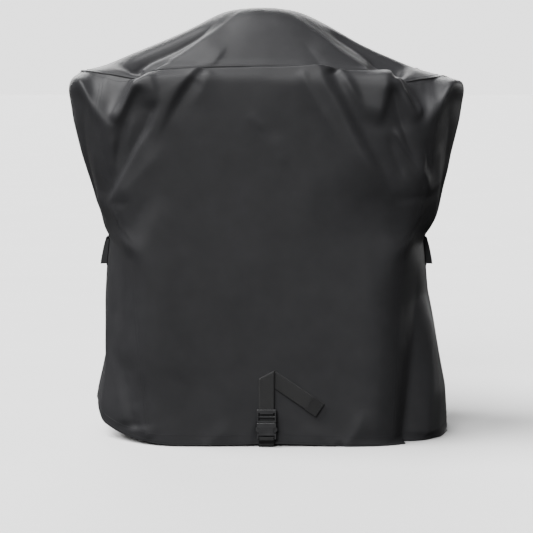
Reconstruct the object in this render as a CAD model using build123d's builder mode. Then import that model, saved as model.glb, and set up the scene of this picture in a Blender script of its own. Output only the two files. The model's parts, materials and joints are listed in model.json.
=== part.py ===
"""Fabric cover for a small grill on a cart, standing on its hem in the shape that it has on the grill.

A sewn shell of five panels (front, back, two sides, top) hangs from a domed top. Its ends are drawn in to a
waist and flare out again to the hem. A webbing strap runs from the back panel under the hem to the front,
where a side-release buckle joins it to an adjustable strap end. Each side has a hooded, screened air vent.

Millimetres, +Z up, front towards -Y. The origin is the centre of the bounding box's base.
"""

import os
from math import cos, radians, sin, tan

from build123d import *

os.makedirs("parts", exist_ok=True)

# Shell: rises between the wall's levels, from the hem up, and half sizes at each level.
fabric = 1.2  # wall thickness
half_depth = 220.0
flare_rise, belly_rise, waist_rise = 70.0, 185.0, 130.0
rib_rise, chest_rise, shoulder_rise, brow_rise = 45.0, 165.0, 83.0, 34.0
hem_front, hem_reach = 229.0, 354.0
flare_front, flare_reach = 234.0, 352.0
belly_front, belly_reach = 252.0, 326.0
waist_front, waist_reach = 262.0, 311.0
rib_front, rib_reach = 298.0, 333.0
chest_front, chest_reach = 329.0, 377.0
shoulder_front, shoulder_reach = 337.0, 390.0
brow_front, brow_reach, brow_inset = 326.0, 367.0, 11.0
corner_mitre = 0.45  # how far a corner moves along the front for each unit of inset
dome_rise = 120.0
dome_steps = ((0.11, 0.84), (0.37, 0.62), (0.64, 0.43), (0.83, 0.30), (0.94, 0.20), (1.0, 0.09))
dome_fullness = 0.4  # below 1, the dome narrows later from front to back than from side to side

# Trim of the shell.
skin_gap = 0.1  # between two layers sewn together
welt_height, welt_proud, seam_allowance = 3.0, 2.5, 8.0
hem_tape, hem_tape_height, hem_tape_lift = 0.9, 20.0, 2.5
seam_tape, seam_tape_leg = 0.8, 10.0

# Webbing.
strap_width, strap_thick = 30.0, 1.4
hem_notch_gap = 0.3  # round the strap where it passes under the hem
under_strap_back_rise = 62.0
anchor_rise, anchor_seam = 100.0, 26.0
patch_margin, patch_thick = 8.0, 0.8
fold_rise, tail_length, tail_angle = 138.0, 126.0, 34.0
tail_hem_length, tail_hem_thick = 26.0, 1.1
slide_gap = 0.4  # behind the webbing that moves with the buckle

# Side-release buckle, measured up from the hem and out from the front panel.
buckle_base = 16.0
bar_height, bar_thick, bar_inset = 3.6, 3.8, 3.0
strap_slot = 4.4
female_back, female_thick, female_length = 1.7, 9.6, 32.0
side_wall, plate_thick = 2.6, 1.8
mouth_height, window_height, pocket_floor = 9.0, 11.0, 10.0
window_web = 3.2  # side rail left of the pocket's width beside each window
male_gap, male_base, male_inset = 0.3, 4.0, 0.7
mid_bar, lip_height, lip_chamfer = 4.0, 8.5, 2.6
prong_gap, prong_width, prong_root = 0.3, 3.4, 1.7
pad_proud, pad_length, tip_clear = 1.9, 9.4, 2.0

# Air vents in the side panels.
vent_width, vent_height = 80.0, 32.0
trim_margin, trim_thick, vent_drop = 9.0, 0.9, 13.0
screen_thick, screen_margin = 0.8, 5.0
hood_margin, hood_thick, hood_stand_off, hood_roll = 5.0, 1.6, 8.0, 2.0
hood_gap = 0.3
stay_width, stay_thick, stay_lift = 20.0, 2.0, 7.0

# Levels of the wall as (height, front half-width, side reach, half depth).
flare_z = flare_rise
belly_z = flare_z + belly_rise
waist_z = belly_z + waist_rise
rib_z = waist_z + rib_rise
chest_z = rib_z + chest_rise
shoulder_z = chest_z + shoulder_rise
wall_top = shoulder_z + brow_rise
brow_depth = half_depth - brow_inset
wall_levels = (
    (0.0, hem_front, hem_reach, half_depth),
    (flare_z, flare_front, flare_reach, half_depth),
    (belly_z, belly_front, belly_reach, half_depth),
    (waist_z, waist_front, waist_reach, half_depth),
    (rib_z, rib_front, rib_reach, half_depth),
    (chest_z, chest_front, chest_reach, half_depth),
    (shoulder_z, shoulder_front, shoulder_reach, half_depth),
    (wall_top, brow_front, brow_reach, brow_depth),
)
dome_base = wall_top + welt_height

# The shell's middle is set off the origin, so that the buckle in front is balanced in the bounding box.
buckle_front = female_back + female_thick
strap_proud = skin_gap + strap_thick
middle_y = (buckle_front - strap_proud) / 2
face_y = middle_y - half_depth  # outer face of the front panel
back_y = middle_y + half_depth  # outer face of the back panel

# Heights along the buckle and its strap.
half_strap = strap_width / 2
bar_top = buckle_base + bar_height
slot_top = bar_top + strap_slot
female_top = buckle_base + female_length
pocket_bottom = buckle_base + pocket_floor
window_top = female_top - mouth_height
window_bottom = window_top - window_height
frame_half = half_strap + 0.5 + bar_inset
pocket_half = frame_half - side_wall
pocket_thick = female_thick - 2 * plate_thick
buckle_mid = female_back + female_thick / 2
male_bottom = female_top + male_gap
male_top_of_base = male_bottom + male_base
ladder_back = strap_proud + slide_gap + strap_thick / 2  # webbing behind the ladder, middle
male_back = ladder_back + strap_thick / 2 + skin_gap
male_thick = buckle_front - male_inset - male_back
mid_bar_bottom = male_top_of_base + strap_slot
mid_bar_top = mid_bar_bottom + mid_bar
lip_bottom = mid_bar_top + strap_slot
lip_top = lip_bottom + lip_height
prong_thick = pocket_thick - 2 * prong_gap
prong_x = half_strap / 2 + prong_root
prong_z = male_bottom - prong_root  # axis that a prong's root turns on
vent_top = waist_z - vent_drop
vent_bottom = vent_top - vent_height
vent_mid = (vent_top + vent_bottom) / 2


def reach_at(height):
    """Half-width of the shell in the middle of a side, at a height between the belly and the waist."""
    share = (waist_z - height) / waist_rise
    return waist_reach + share * (belly_reach - waist_reach)


def front_out(distance):
    """Y of a point that stands a distance out from the front panel."""
    return face_y - distance


def front_plane(distance):
    """Plane parallel to the front panel and a distance out from it, drawn in X and Z."""
    return Plane.XZ.offset(-front_out(distance))


def corner(level, inset):
    """Corner of a level's outline on the right at the back, and the reach of its side, moved in by inset."""
    _, front, reach, depth = level
    return front - corner_mitre * inset, depth - inset, reach - inset


def outline(level, inset):
    """Whole outline of the shell at a level: straight front and back, and an arc at each end."""
    x, y, reach = corner(level, inset)
    with BuildSketch(Plane.XY.offset(level[0])) as section:
        with BuildLine():
            Line((-x, middle_y - y), (x, middle_y - y))
            ThreePointArc((x, middle_y - y), (reach, middle_y), (x, middle_y + y))
            Line((x, middle_y + y), (-x, middle_y + y))
            ThreePointArc((-x, middle_y + y), (-reach, middle_y), (-x, middle_y - y))
        make_face()
    return section.sketch


def front_strip(level, outer, inner):
    """Strip of the front wall between two insets, cut on the mitre at the corners."""
    x_out, y_out, _ = corner(level, outer)
    x_in, y_in, _ = corner(level, inner)
    with BuildSketch(Plane.XY.offset(level[0])) as section:
        with BuildLine():
            Polyline(
                (-x_out, middle_y - y_out),
                (x_out, middle_y - y_out),
                (x_in, middle_y - y_in),
                (-x_in, middle_y - y_in),
                close=True,
            )
        make_face()
    return section.sketch


def side_strip(level, outer, inner):
    """Strip of the right-hand wall between two insets, cut on the mitre at the corners."""
    x_out, y_out, reach_out = corner(level, outer)
    x_in, y_in, reach_in = corner(level, inner)
    with BuildSketch(Plane.XY.offset(level[0])) as section:
        with BuildLine():
            ThreePointArc((x_out, middle_y - y_out), (reach_out, middle_y), (x_out, middle_y + y_out))
            Line((x_out, middle_y + y_out), (x_in, middle_y + y_in))
            ThreePointArc((x_in, middle_y + y_in), (reach_in, middle_y), (x_in, middle_y - y_in))
            Line((x_in, middle_y - y_in), (x_out, middle_y - y_out))
        make_face()
    return section.sketch


def corner_strip(level, outer, inner):
    """Folded tape in the front right corner: one leg along the front wall, one along the side."""
    x_out, y_out, reach = corner(level, outer)
    x_in, y_in, _ = corner(level, inner)
    fold, fold_in = Vector(x_out, middle_y - y_out), Vector(x_in, middle_y - y_in)
    side_leg = (Vector(reach, middle_y) - fold).normalized() * seam_tape_leg
    front_leg = Vector(-seam_tape_leg, 0)
    with BuildSketch(Plane.XY.offset(level[0])) as section:
        with BuildLine():
            Polyline(
                fold,
                fold + side_leg,
                fold_in + side_leg,
                fold_in,
                fold_in + front_leg,
                fold + front_leg,
                close=True,
            )
        make_face()
    return section.sketch


def strips(levels, draw, outer, inner):
    """Sections of one wall strip at each of the levels."""
    return [draw(level, outer, inner) for level in levels]


def keep_box(x_min, x_max, y_min, y_max, z_min, z_max):
    """Keeps what the open part has inside a box."""
    middle = ((x_min + x_max) / 2, (y_min + y_max) / 2, (z_min + z_max) / 2)
    with Locations(middle):
        Box(x_max - x_min, y_max - y_min, z_max - z_min, mode=Mode.INTERSECT)


def cut_hem_notch(y):
    """Notch in the open panel's hem that lets the strap pass under it."""
    with Locations((0, y, 0)):
        Box(
            strap_width + 2 * hem_notch_gap,
            4 * fabric,
            2 * (strap_thick + hem_notch_gap),
            mode=Mode.SUBTRACT,
        )


def cut_vent(thickness):
    """Vent window through a wall strip on the right, reaching a thickness to each side of it."""
    with Locations((reach_at(vent_mid), middle_y, vent_mid)):
        Box(2 * thickness, vent_width, vent_height, mode=Mode.SUBTRACT)


def mirrored(source, plane):
    """The same piece on the other side of a plane."""
    with BuildPart() as twin:
        mirror(source.part, about=plane)
    return twin


def save(piece, name):
    """Labels a finished piece and writes it to its own file."""
    piece.part.label = name
    export_step(piece.part, f"parts/{name}.step")


across = Plane.YZ  # left and right
along = Plane.XZ.offset(-middle_y)  # front and back


# Panels of the shell.
with BuildPart() as front_panel:
    loft(strips(wall_levels, front_strip, 0, fabric), ruled=True)
    cut_hem_notch(face_y)

back_panel = mirrored(front_panel, along)

with BuildPart() as right_side_panel:
    loft(strips(wall_levels, side_strip, 0, fabric), ruled=True)
    cut_vent(20 * fabric)

left_side_panel = mirrored(right_side_panel, across)


def dome_sections(drop, inset):
    """Sections of the dome's outer face, or of a face inside it, lower by drop and smaller by inset."""
    sections = [outline((dome_base - drop, brow_front, brow_reach, brow_depth), inset)]
    for rise_share, width_share in dome_steps:
        level = (
            dome_base + rise_share * dome_rise - drop,
            width_share * brow_front,
            width_share * brow_reach,
            width_share**dome_fullness * brow_depth,
        )
        sections.append(outline(level, inset))
    return sections


with BuildPart() as top_panel:
    loft(dome_sections(0, 0), ruled=True)
    loft(dome_sections(fabric, fabric), ruled=True, mode=Mode.SUBTRACT)

# Welt sewn between the walls and the top, with its seam allowance turned in.
with BuildPart() as top_welt:
    extrude(outline(wall_levels[-1], -welt_proud), amount=welt_height)
    extrude(outline(wall_levels[-1], seam_allowance), amount=welt_height, mode=Mode.SUBTRACT)

# Tape round the inside of the hem.
tape_out = fabric + skin_gap
tape_in = tape_out + hem_tape
with BuildPart() as hem_binding:
    loft([outline(level, tape_out) for level in wall_levels[:2]], ruled=True)
    loft([outline(level, tape_in) for level in wall_levels[:2]], ruled=True, mode=Mode.SUBTRACT)
    keep_box(
        -2 * hem_reach, 2 * hem_reach, -2 * half_depth, 2 * half_depth,
        hem_tape_lift, hem_tape_lift + hem_tape_height,
    )  # fmt: skip

# Folded tape over each corner seam, inside.
with BuildPart() as front_right_seam_tape:
    loft(strips(wall_levels[:-1], corner_strip, tape_out, tape_out + seam_tape), ruled=True)
    keep_box(
        0, shoulder_reach, middle_y - half_depth, middle_y,
        hem_tape_lift + hem_tape_height + skin_gap, shoulder_z - seam_tape_leg,
    )  # fmt: skip

front_left_seam_tape = mirrored(front_right_seam_tape, across)
back_right_seam_tape = mirrored(front_right_seam_tape, along)
back_left_seam_tape = mirrored(front_left_seam_tape, along)


def strap_patch(top, height):
    """Patch sewn inside the front panel, behind a strap's stitching."""
    with BuildPart() as patch:
        with BuildSketch(front_plane(-fabric - skin_gap - patch_thick)):
            with Locations((0, top - height / 2)):
                RectangleRounded(strap_width + 2 * patch_margin, height + 2 * patch_margin, 4)
        extrude(amount=patch_thick)
    return patch


front_strap_patch = strap_patch(anchor_rise, anchor_seam)
back_seam = under_strap_back_rise - hem_tape_lift - hem_tape_height - 2 * patch_margin
back_strap_patch = mirrored(strap_patch(under_strap_back_rise, back_seam), along)

# Strap from the back panel, under the hem and up to a loop round the buckle's bar.
layer = skin_gap + strap_thick / 2  # middle of a layer of webbing that lies on a panel
loop_gap = strap_thick / 2 + 0.2
bar_out = buckle_mid - bar_thick / 2
with BuildPart() as under_strap:
    with BuildSketch(Plane.YZ):
        with BuildLine():
            FilletPolyline(
                (back_y + layer, under_strap_back_rise),
                (back_y + layer, strap_thick / 2),
                (face_y - layer, strap_thick / 2),
                (face_y - layer, buckle_base - 8),
                (front_out(bar_out - loop_gap), buckle_base - 1),
                (front_out(bar_out - loop_gap), bar_top + loop_gap),
                (front_out(bar_out + bar_thick + loop_gap), bar_top + loop_gap),
                (front_out(bar_out + bar_thick + loop_gap), buckle_base - 1.5),
                (front_out(layer + strap_proud), buckle_base - 9),
                (front_out(layer + strap_proud), strap_thick * 2),
                radius=strap_thick / 2 + 0.1,
            )
        trace(line_width=strap_thick)
    extrude(amount=half_strap, both=True)

# Webbing sewn to the front panel, which leads down behind the adjuster.
with BuildPart() as anchor_strap:
    with BuildSketch(front_plane(skin_gap)):
        with Locations((0, (anchor_rise + male_top_of_base) / 2)):
            Rectangle(strap_width, anchor_rise - male_top_of_base)
    extrude(amount=strap_thick)

# Lower half of the buckle: a flat pocket with a window at each side for the prongs' pads.
with BuildPart() as buckle_female:
    with BuildSketch(front_plane(female_back)):
        with Locations((0, (buckle_base + female_top) / 2)):
            RectangleRounded(2 * frame_half, female_length, 2.5)
    extrude(amount=female_thick)
    fillet(buckle_female.faces().filter_by(Axis.Y).edges(), 1.0)
    with BuildSketch(Plane.XY.offset(female_top)):
        with Locations((0, front_out(buckle_mid))):
            Rectangle(2 * pocket_half, pocket_thick)
    extrude(amount=pocket_bottom - female_top, mode=Mode.SUBTRACT)
    with BuildSketch(front_plane(0)):
        with Locations(
            (frame_half, (window_top + window_bottom) / 2),
            (-frame_half, (window_top + window_bottom) / 2),
        ):
            RectangleRounded(2 * (frame_half - pocket_half + window_web), window_height, 2.5)
    extrude(amount=2 * female_thick, mode=Mode.SUBTRACT)
    with BuildSketch(front_plane(0)):
        with Locations((0, (bar_top + slot_top) / 2)):
            Rectangle(strap_width + 1, strap_slot)
    extrude(amount=2 * female_thick, mode=Mode.SUBTRACT)
    for back, front in ((female_back, bar_out), (bar_out + bar_thick, buckle_front)):
        with BuildSketch(front_plane(back)):
            with Locations((0, (buckle_base + bar_top) / 2)):
                Rectangle(strap_width + 1, bar_height)
        extrude(amount=front - back, mode=Mode.SUBTRACT)
    with BuildSketch(front_plane(buckle_front - 0.5)):
        with Locations((0, (window_top + window_bottom) / 2)):
            with GridLocations(0, 3.6, 1, 3):
                SlotOverall(strap_width - 10, 1.3)
    extrude(amount=1, mode=Mode.SUBTRACT)

# Upper half of the buckle: tongue, base and ladder of two bars that the webbing is threaded through.
with BuildPart() as buckle_male:
    with BuildSketch(front_plane(male_back)):
        with Locations((0, (male_bottom + lip_top) / 2)):
            RectangleRounded(2 * frame_half, lip_top - male_bottom, 2.2)
    extrude(amount=male_thick)
    fillet(buckle_male.faces().filter_by(Axis.Y).edges(), 0.9)
    with BuildSketch(front_plane(0)):
        with Locations((0, (male_top_of_base + lip_bottom) / 2)):
            Rectangle(strap_width + 1, lip_bottom - male_top_of_base)
    extrude(amount=2 * buckle_front, mode=Mode.SUBTRACT)
    with BuildSketch(front_plane(0)):
        with Locations((0, (lip_bottom + lip_top) / 2)):
            Rectangle(strap_width + 1, lip_height)
    extrude(amount=buckle_mid - 0.6, mode=Mode.SUBTRACT)
    with BuildSketch(front_plane(0)):
        for side in (-1, 1):
            with Locations((side * (half_strap + 0.5 - lip_chamfer / 2), lip_bottom + lip_chamfer / 2)):
                Rectangle(lip_chamfer, lip_chamfer)
    extrude(amount=2 * buckle_front, mode=Mode.SUBTRACT)
    with BuildSketch(Plane.YZ):
        with Locations((front_out(buckle_mid - 0.6), (mid_bar_bottom + mid_bar_top) / 2)):
            RectangleRounded(bar_thick - 0.4, mid_bar, 1)
    extrude(amount=half_strap + 0.7, both=True)
    with BuildSketch(front_plane(buckle_mid - prong_thick / 2)):
        with Locations((0, male_bottom - prong_root)):
            Rectangle(2 * (pocket_half - prong_gap), 2 * prong_root + 1)
        with Locations((0, (pocket_bottom + male_bottom) / 2 + 2)):
            Rectangle(strap_width / 6, male_bottom - pocket_bottom - 2)
    extrude(amount=prong_thick)
    with BuildSketch(front_plane(0)):
        for side in (-1, 1):
            with Locations((side * prong_x, prong_z)):
                Circle(prong_root + prong_gap)
            with Locations((side * prong_x, prong_z - 3)):
                Rectangle(2 * prong_root + 1.6, 6)
    extrude(amount=2 * buckle_front, mode=Mode.SUBTRACT)

# Springy prongs. Each has a round root in the tongue and a pad that fills a window.
pad_top = window_top - prong_gap
pad_out = frame_half + pad_proud
with BuildPart() as right_prong:
    with BuildSketch(front_plane(buckle_mid - prong_thick / 2)):
        with Locations((prong_x, prong_z)):
            Circle(prong_root)
        with BuildLine():
            Polyline(
                (prong_x - prong_width / 2, prong_z),
                (prong_x + prong_width / 2, prong_z),
                (prong_x + prong_width / 2 + 0.8, pad_top),
                (pad_out - 1.4, pad_top),
                (pad_out, pad_top - 1.8),
                (pad_out, pad_top - pad_length + 4),
                (pad_out - 3, pad_top - pad_length),
                (prong_x + prong_width, pocket_bottom + tip_clear),
                (prong_x + 0.6, pocket_bottom + tip_clear),
                close=True,
            )
        make_face()
    extrude(amount=prong_thick)
    fillet(right_prong.edges().filter_by(Axis.Y).group_by(Axis.X)[-1], 0.8)

left_prong = mirrored(right_prong, across)

# Webbing threaded through the ladder and folded back over itself at the top.
bar_front = buckle_mid - 0.6 + (bar_thick - 0.4) / 2
run_out = ladder_back + 1.0
fold_angle = (90 - tail_angle) / 2
fold_left = Vector(-half_strap, fold_rise - half_strap * tan(radians(fold_angle)))
fold_right = Vector(half_strap, fold_rise + half_strap * tan(radians(fold_angle)))
tail_along = Vector(cos(radians(tail_angle)), -sin(radians(tail_angle)))
tail_across = Vector(-tail_along.Y, tail_along.X) * half_strap
tail_end = Vector(0, fold_rise) + tail_along * tail_length
run_start = lip_bottom + 4
with BuildPart() as strap_tail:
    with BuildSketch(Plane.YZ):
        with BuildLine():
            FilletPolyline(
                (front_out(ladder_back), male_bottom + 1),
                (front_out(ladder_back), male_top_of_base + 1.2),
                (front_out(bar_front + loop_gap), mid_bar_bottom - 1.5),
                (front_out(bar_front + loop_gap), mid_bar_top + 1.5),
                (front_out(run_out), lip_bottom - 1.3),
                (front_out(run_out), run_start),
                radius=1.0,
            )
        trace(line_width=strap_thick)
    extrude(amount=half_strap, both=True)
    with BuildSketch(front_plane(run_out - strap_thick / 2)):
        with BuildLine():
            Polyline(
                (-half_strap, run_start - 0.5),
                (half_strap, run_start - 0.5),
                fold_right,
                fold_left,
                close=True,
            )
        make_face()
    extrude(amount=strap_thick)
    with BuildSketch(front_plane(slide_gap)):
        with BuildLine():
            Polyline(fold_left, tail_end - tail_across, tail_end + tail_across, fold_right, close=True)
        make_face()
    extrude(amount=strap_thick)
    with BuildSketch(front_plane(slide_gap)):
        with BuildLine():
            bend = Vector(0, strap_thick)
            Polyline(fold_left, fold_right, fold_right - bend, fold_left - bend, close=True)
        make_face()
    extrude(amount=run_out + strap_thick / 2 - slide_gap)
    with BuildSketch(front_plane(slide_gap + strap_thick)):
        with BuildLine():
            hem_start = tail_end - tail_along * tail_hem_length
            Polyline(
                hem_start - tail_across,
                tail_end - tail_across,
                tail_end + tail_across,
                hem_start + tail_across,
                close=True,
            )
        make_face()
    extrude(amount=tail_hem_thick)

# Air vent on the right: sewn frame, screen, hood and the stay that props the hood open.
vent_levels = wall_levels[2:4]  # the vent lies between the belly and the waist
trim_out = trim_thick + skin_gap
with BuildPart() as right_vent_trim:
    loft(strips(vent_levels, side_strip, -trim_out, -skin_gap), ruled=True)
    keep_box(
        0, 2 * belly_reach,
        middle_y - vent_width / 2 - trim_margin, middle_y + vent_width / 2 + trim_margin,
        vent_bottom - trim_margin, vent_top + trim_margin,
    )  # fmt: skip
    cut_vent(20 * fabric)

with BuildPart() as right_vent_screen:
    loft(strips(vent_levels, side_strip, tape_out, tape_out + screen_thick), ruled=True)
    keep_box(
        0, 2 * belly_reach,
        middle_y - vent_width / 2 - screen_margin, middle_y + vent_width / 2 + screen_margin,
        vent_bottom - screen_margin, vent_top + screen_margin,
    )  # fmt: skip

hinge_x = waist_reach + trim_out + hood_gap + hood_roll
hinge_z = waist_z + 1
lip_z = vent_bottom - 4
lip_x = reach_at(lip_z) + trim_out + hood_stand_off
hood_half = vent_width / 2 + trim_margin + hood_margin
with BuildPart() as right_vent_hood:
    with BuildSketch(Plane.XZ.offset(-middle_y)):
        with BuildLine():
            Line((hinge_x, hinge_z), (lip_x, lip_z))
        trace(line_width=hood_thick)
        with Locations((hinge_x, hinge_z), (lip_x, lip_z)):
            Circle(hood_roll)
    extrude(amount=hood_half, both=True)
    for end in (-1, 1):
        with BuildSketch(Plane.XZ.offset(-middle_y - end * (hood_half - hood_thick / 2))):
            with BuildLine():
                Polyline(
                    (hinge_x, hinge_z),
                    (lip_x, lip_z),
                    (reach_at(lip_z) + trim_out + hood_gap, lip_z),
                    (waist_reach + trim_out + hood_gap, waist_z - hood_roll),
                    close=True,
                )
            make_face()
        extrude(amount=hood_thick / 2, both=True)

stay_z = lip_z + stay_lift
stay_inner = reach_at(stay_z) + trim_out + skin_gap
lean = (lip_x - hinge_x) / (hinge_z - lip_z)
stay_outer = hinge_x + lean * (hinge_z - stay_z - stay_thick) - hood_thick / 2 - hood_gap
with BuildPart() as right_vent_stay:
    with Locations(((stay_inner + stay_outer) / 2, middle_y, stay_z)):
        Box(stay_outer - stay_inner, stay_width, stay_thick)

left_vent_trim = mirrored(right_vent_trim, across)
left_vent_screen = mirrored(right_vent_screen, across)
left_vent_hood = mirrored(right_vent_hood, across)
left_vent_stay = mirrored(right_vent_stay, across)

pieces = {
    "top_panel": top_panel,
    "front_panel": front_panel,
    "back_panel": back_panel,
    "left_side_panel": left_side_panel,
    "right_side_panel": right_side_panel,
    "top_welt": top_welt,
    "hem_binding": hem_binding,
    "front_left_seam_tape": front_left_seam_tape,
    "front_right_seam_tape": front_right_seam_tape,
    "back_left_seam_tape": back_left_seam_tape,
    "back_right_seam_tape": back_right_seam_tape,
    "front_strap_patch": front_strap_patch,
    "back_strap_patch": back_strap_patch,
    "under_strap": under_strap,
    "anchor_strap": anchor_strap,
    "buckle_female": buckle_female,
    "buckle_male": buckle_male,
    "left_prong": left_prong,
    "right_prong": right_prong,
    "strap_tail": strap_tail,
    "left_vent_trim": left_vent_trim,
    "left_vent_screen": left_vent_screen,
    "left_vent_hood": left_vent_hood,
    "left_vent_stay": left_vent_stay,
    "right_vent_trim": right_vent_trim,
    "right_vent_screen": right_vent_screen,
    "right_vent_hood": right_vent_hood,
    "right_vent_stay": right_vent_stay,
}
for name, piece in pieces.items():
    save(piece, name)
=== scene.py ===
import json
import math

import bpy
import numpy as np
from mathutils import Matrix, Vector


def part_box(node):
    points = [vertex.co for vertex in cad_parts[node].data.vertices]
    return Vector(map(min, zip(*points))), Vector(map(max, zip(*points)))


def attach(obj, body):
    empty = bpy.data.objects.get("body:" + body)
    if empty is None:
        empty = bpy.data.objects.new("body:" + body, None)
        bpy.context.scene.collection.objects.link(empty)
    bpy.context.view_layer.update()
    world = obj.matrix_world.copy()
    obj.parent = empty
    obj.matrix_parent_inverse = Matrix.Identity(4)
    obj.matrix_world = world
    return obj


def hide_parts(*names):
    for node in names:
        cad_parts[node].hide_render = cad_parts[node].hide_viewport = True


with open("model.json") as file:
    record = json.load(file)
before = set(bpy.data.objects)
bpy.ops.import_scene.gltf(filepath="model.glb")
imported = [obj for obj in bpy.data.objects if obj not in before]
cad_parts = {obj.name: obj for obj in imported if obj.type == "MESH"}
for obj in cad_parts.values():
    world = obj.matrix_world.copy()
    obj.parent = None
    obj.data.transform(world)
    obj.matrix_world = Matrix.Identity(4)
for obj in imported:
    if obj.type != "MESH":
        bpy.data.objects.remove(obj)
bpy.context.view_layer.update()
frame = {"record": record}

# Everything is worked out in millimetres and goes to metres as its mesh is made.
MM = 0.001
rng = np.random.default_rng(7)


def box_mm(node):
    """Lowest and highest corner of a CAD node, in millimetres."""
    low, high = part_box(node)
    return np.array(low) / MM, np.array(high) / MM


# ---------------------------------------------------------------- places from the frame

front_low, _ = box_mm("front_panel")
_, back_high = box_mm("back_panel")
FACE_Y, BACK_Y = front_low[1], back_high[1]
MIDDLE_Y = (FACE_Y + BACK_Y) / 2
HALF_DEPTH = (BACK_Y - FACE_Y) / 2
CROWN_Z = box_mm("top_panel")[1][2]
CLOTH = 1.2
STRAP_HALF = box_mm("anchor_strap")[1][0]
STRAP_THICK = 1.4

# ---------------------------------------------------------------- the shell's measurements

# Reach of the left and right ends at a height. Between 325 and 385 it is the CAD's, because the vents sit
# there.
LEFT_REACH = (
    (0, 340), (30, 343), (58, 343), (86, 338), (118, 331), (150, 325), (214, 323), (279, 321), (325, 318),
    (385, 311), (397, 315), (411, 321), (439, 331), (455, 338), (487, 346), (519, 356), (551, 366),
    (583, 374), (616, 382), (648, 387), (672, 390), (690, 389), (702, 382),
)  # fmt: skip
RIGHT_REACH = (
    (0, 364), (54, 362), (86, 360), (118, 354), (150, 348), (182, 342), (214, 336), (247, 329), (279, 322),
    (325, 318), (385, 311), (397, 318), (411, 328), (423, 336), (439, 342), (455, 346), (487, 352),
    (519, 360), (551, 366), (583, 374), (616, 382), (648, 387), (672, 390), (690, 389), (702, 382),
)  # fmt: skip
# Where the front and back turn into the ends.
LEFT_CORNER = ((0, 214), (70, 228), (255, 250), (385, 264), (430, 298), (595, 329), (678, 338), (712, 336))
RIGHT_CORNER = ((0, 236), (70, 240), (255, 252), (385, 264), (430, 300), (595, 329), (678, 338), (712, 336))
# Height of the welt across the front, from the left end to the right end.
WELT_FRONT = (
    (-345, 712), (-290, 706), (-252, 699), (-238, 700), (-205, 716), (-119, 721), (0, 723), (70, 721),
    (140, 715), (216, 705), (262, 692), (290, 697), (345, 702),
)  # fmt: skip
LEFT_END_WELT, RIGHT_END_WELT = 713, 703
LEFT_WELT_REACH, RIGHT_WELT_REACH = 364, 350
WELT_DEPTH, WELT_SQUARENESS = 205, 2.7
WELT_FRONT_SHARE, SHOULDER_CORNER = 0.93, 338
# Width of the dome for its rise, and how much fuller it stays from front to back.
DOME_RISE = (0, 0.11, 0.24, 0.37, 0.50, 0.64, 0.77, 0.87, 0.94, 0.975, 1.0)
DOME_LEFT = (1, 0.86, 0.755, 0.645, 0.54, 0.435, 0.35, 0.285, 0.225, 0.17, 0.09)
DOME_RIGHT = (1, 0.835, 0.72, 0.61, 0.515, 0.43, 0.345, 0.27, 0.205, 0.145, 0.075)
DOME_FULLNESS = 0.42
POCKET_MIDDLE, POCKET_HALF = 304, 54
FRONT_POCKET_DEPTH, BACK_POCKET_DEPTH, END_POCKET_DEPTH = 90, 66, 60
FRONT_RIM, END_RIM, RIGHT_RIM_LIMIT = 703, 700, 694
LEFT_HEM_RISE = 60

# All folds are this much wider than they are drawn, and CRISPNESS is how sharp their crests are.
FOLD_WIDTH, CRISPNESS = 1.15, 1.4
# The back has the front's folds, mirrored, wider and shifted a little, at these shares of their heights.
BACK_WALL_SHARE, BACK_DROP_SHARE, BACK_DOME_SHARE, BACK_WIDTH = 0.75, 0.4, 0.3, 1.3

FRONT_CELLS, SIDE_CELLS = 180, 104
WALL_ROWS, BROW_ROWS, DOME_ROWS, CAP_ROWS = 170, 16, 66, 8
COLUMNS = 2 * (FRONT_CELLS + SIDE_CELLS)


def smooth_step(t):
    t = np.clip(t, 0, 1)
    return t * t * (3 - 2 * t)


def fold(x, z, line, height, right, left, fade_in, fade_out):
    """Height of one fold along a line that is drawn downwards. right and left are its widths on either side
    as the viewer sees it, and it fades out at both ends."""
    line = np.array(line, float)
    steps = np.linalg.norm(np.diff(line, axis=0), axis=1)
    start = np.concatenate([[0], np.cumsum(steps)])
    nearest = np.full(np.shape(x), np.inf)
    along = np.zeros_like(nearest)
    side = np.zeros_like(nearest)
    for (ax, az), (bx, bz), length, begin in zip(line[:-1], line[1:], steps, start):
        dx, dz = (bx - ax) / length, (bz - az) / length
        t = np.clip((x - ax) * dx + (z - az) * dz, 0, length)
        gap = np.hypot(x - ax - t * dx, z - az - t * dz)
        closer = gap < nearest
        nearest = np.where(closer, gap, nearest)
        along = np.where(closer, begin + t, along)
        side = np.where(closer, dx * (z - az) - dz * (x - ax), side)
    share = along / start[-1]
    width = np.where(side > 0, right, left) * FOLD_WIDTH
    ends = smooth_step(share / max(fade_in, 1e-6)) * smooth_step((1 - share) / max(fade_out, 1e-6))
    return height * np.exp(-((nearest / width) ** CRISPNESS)) * ends


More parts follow.
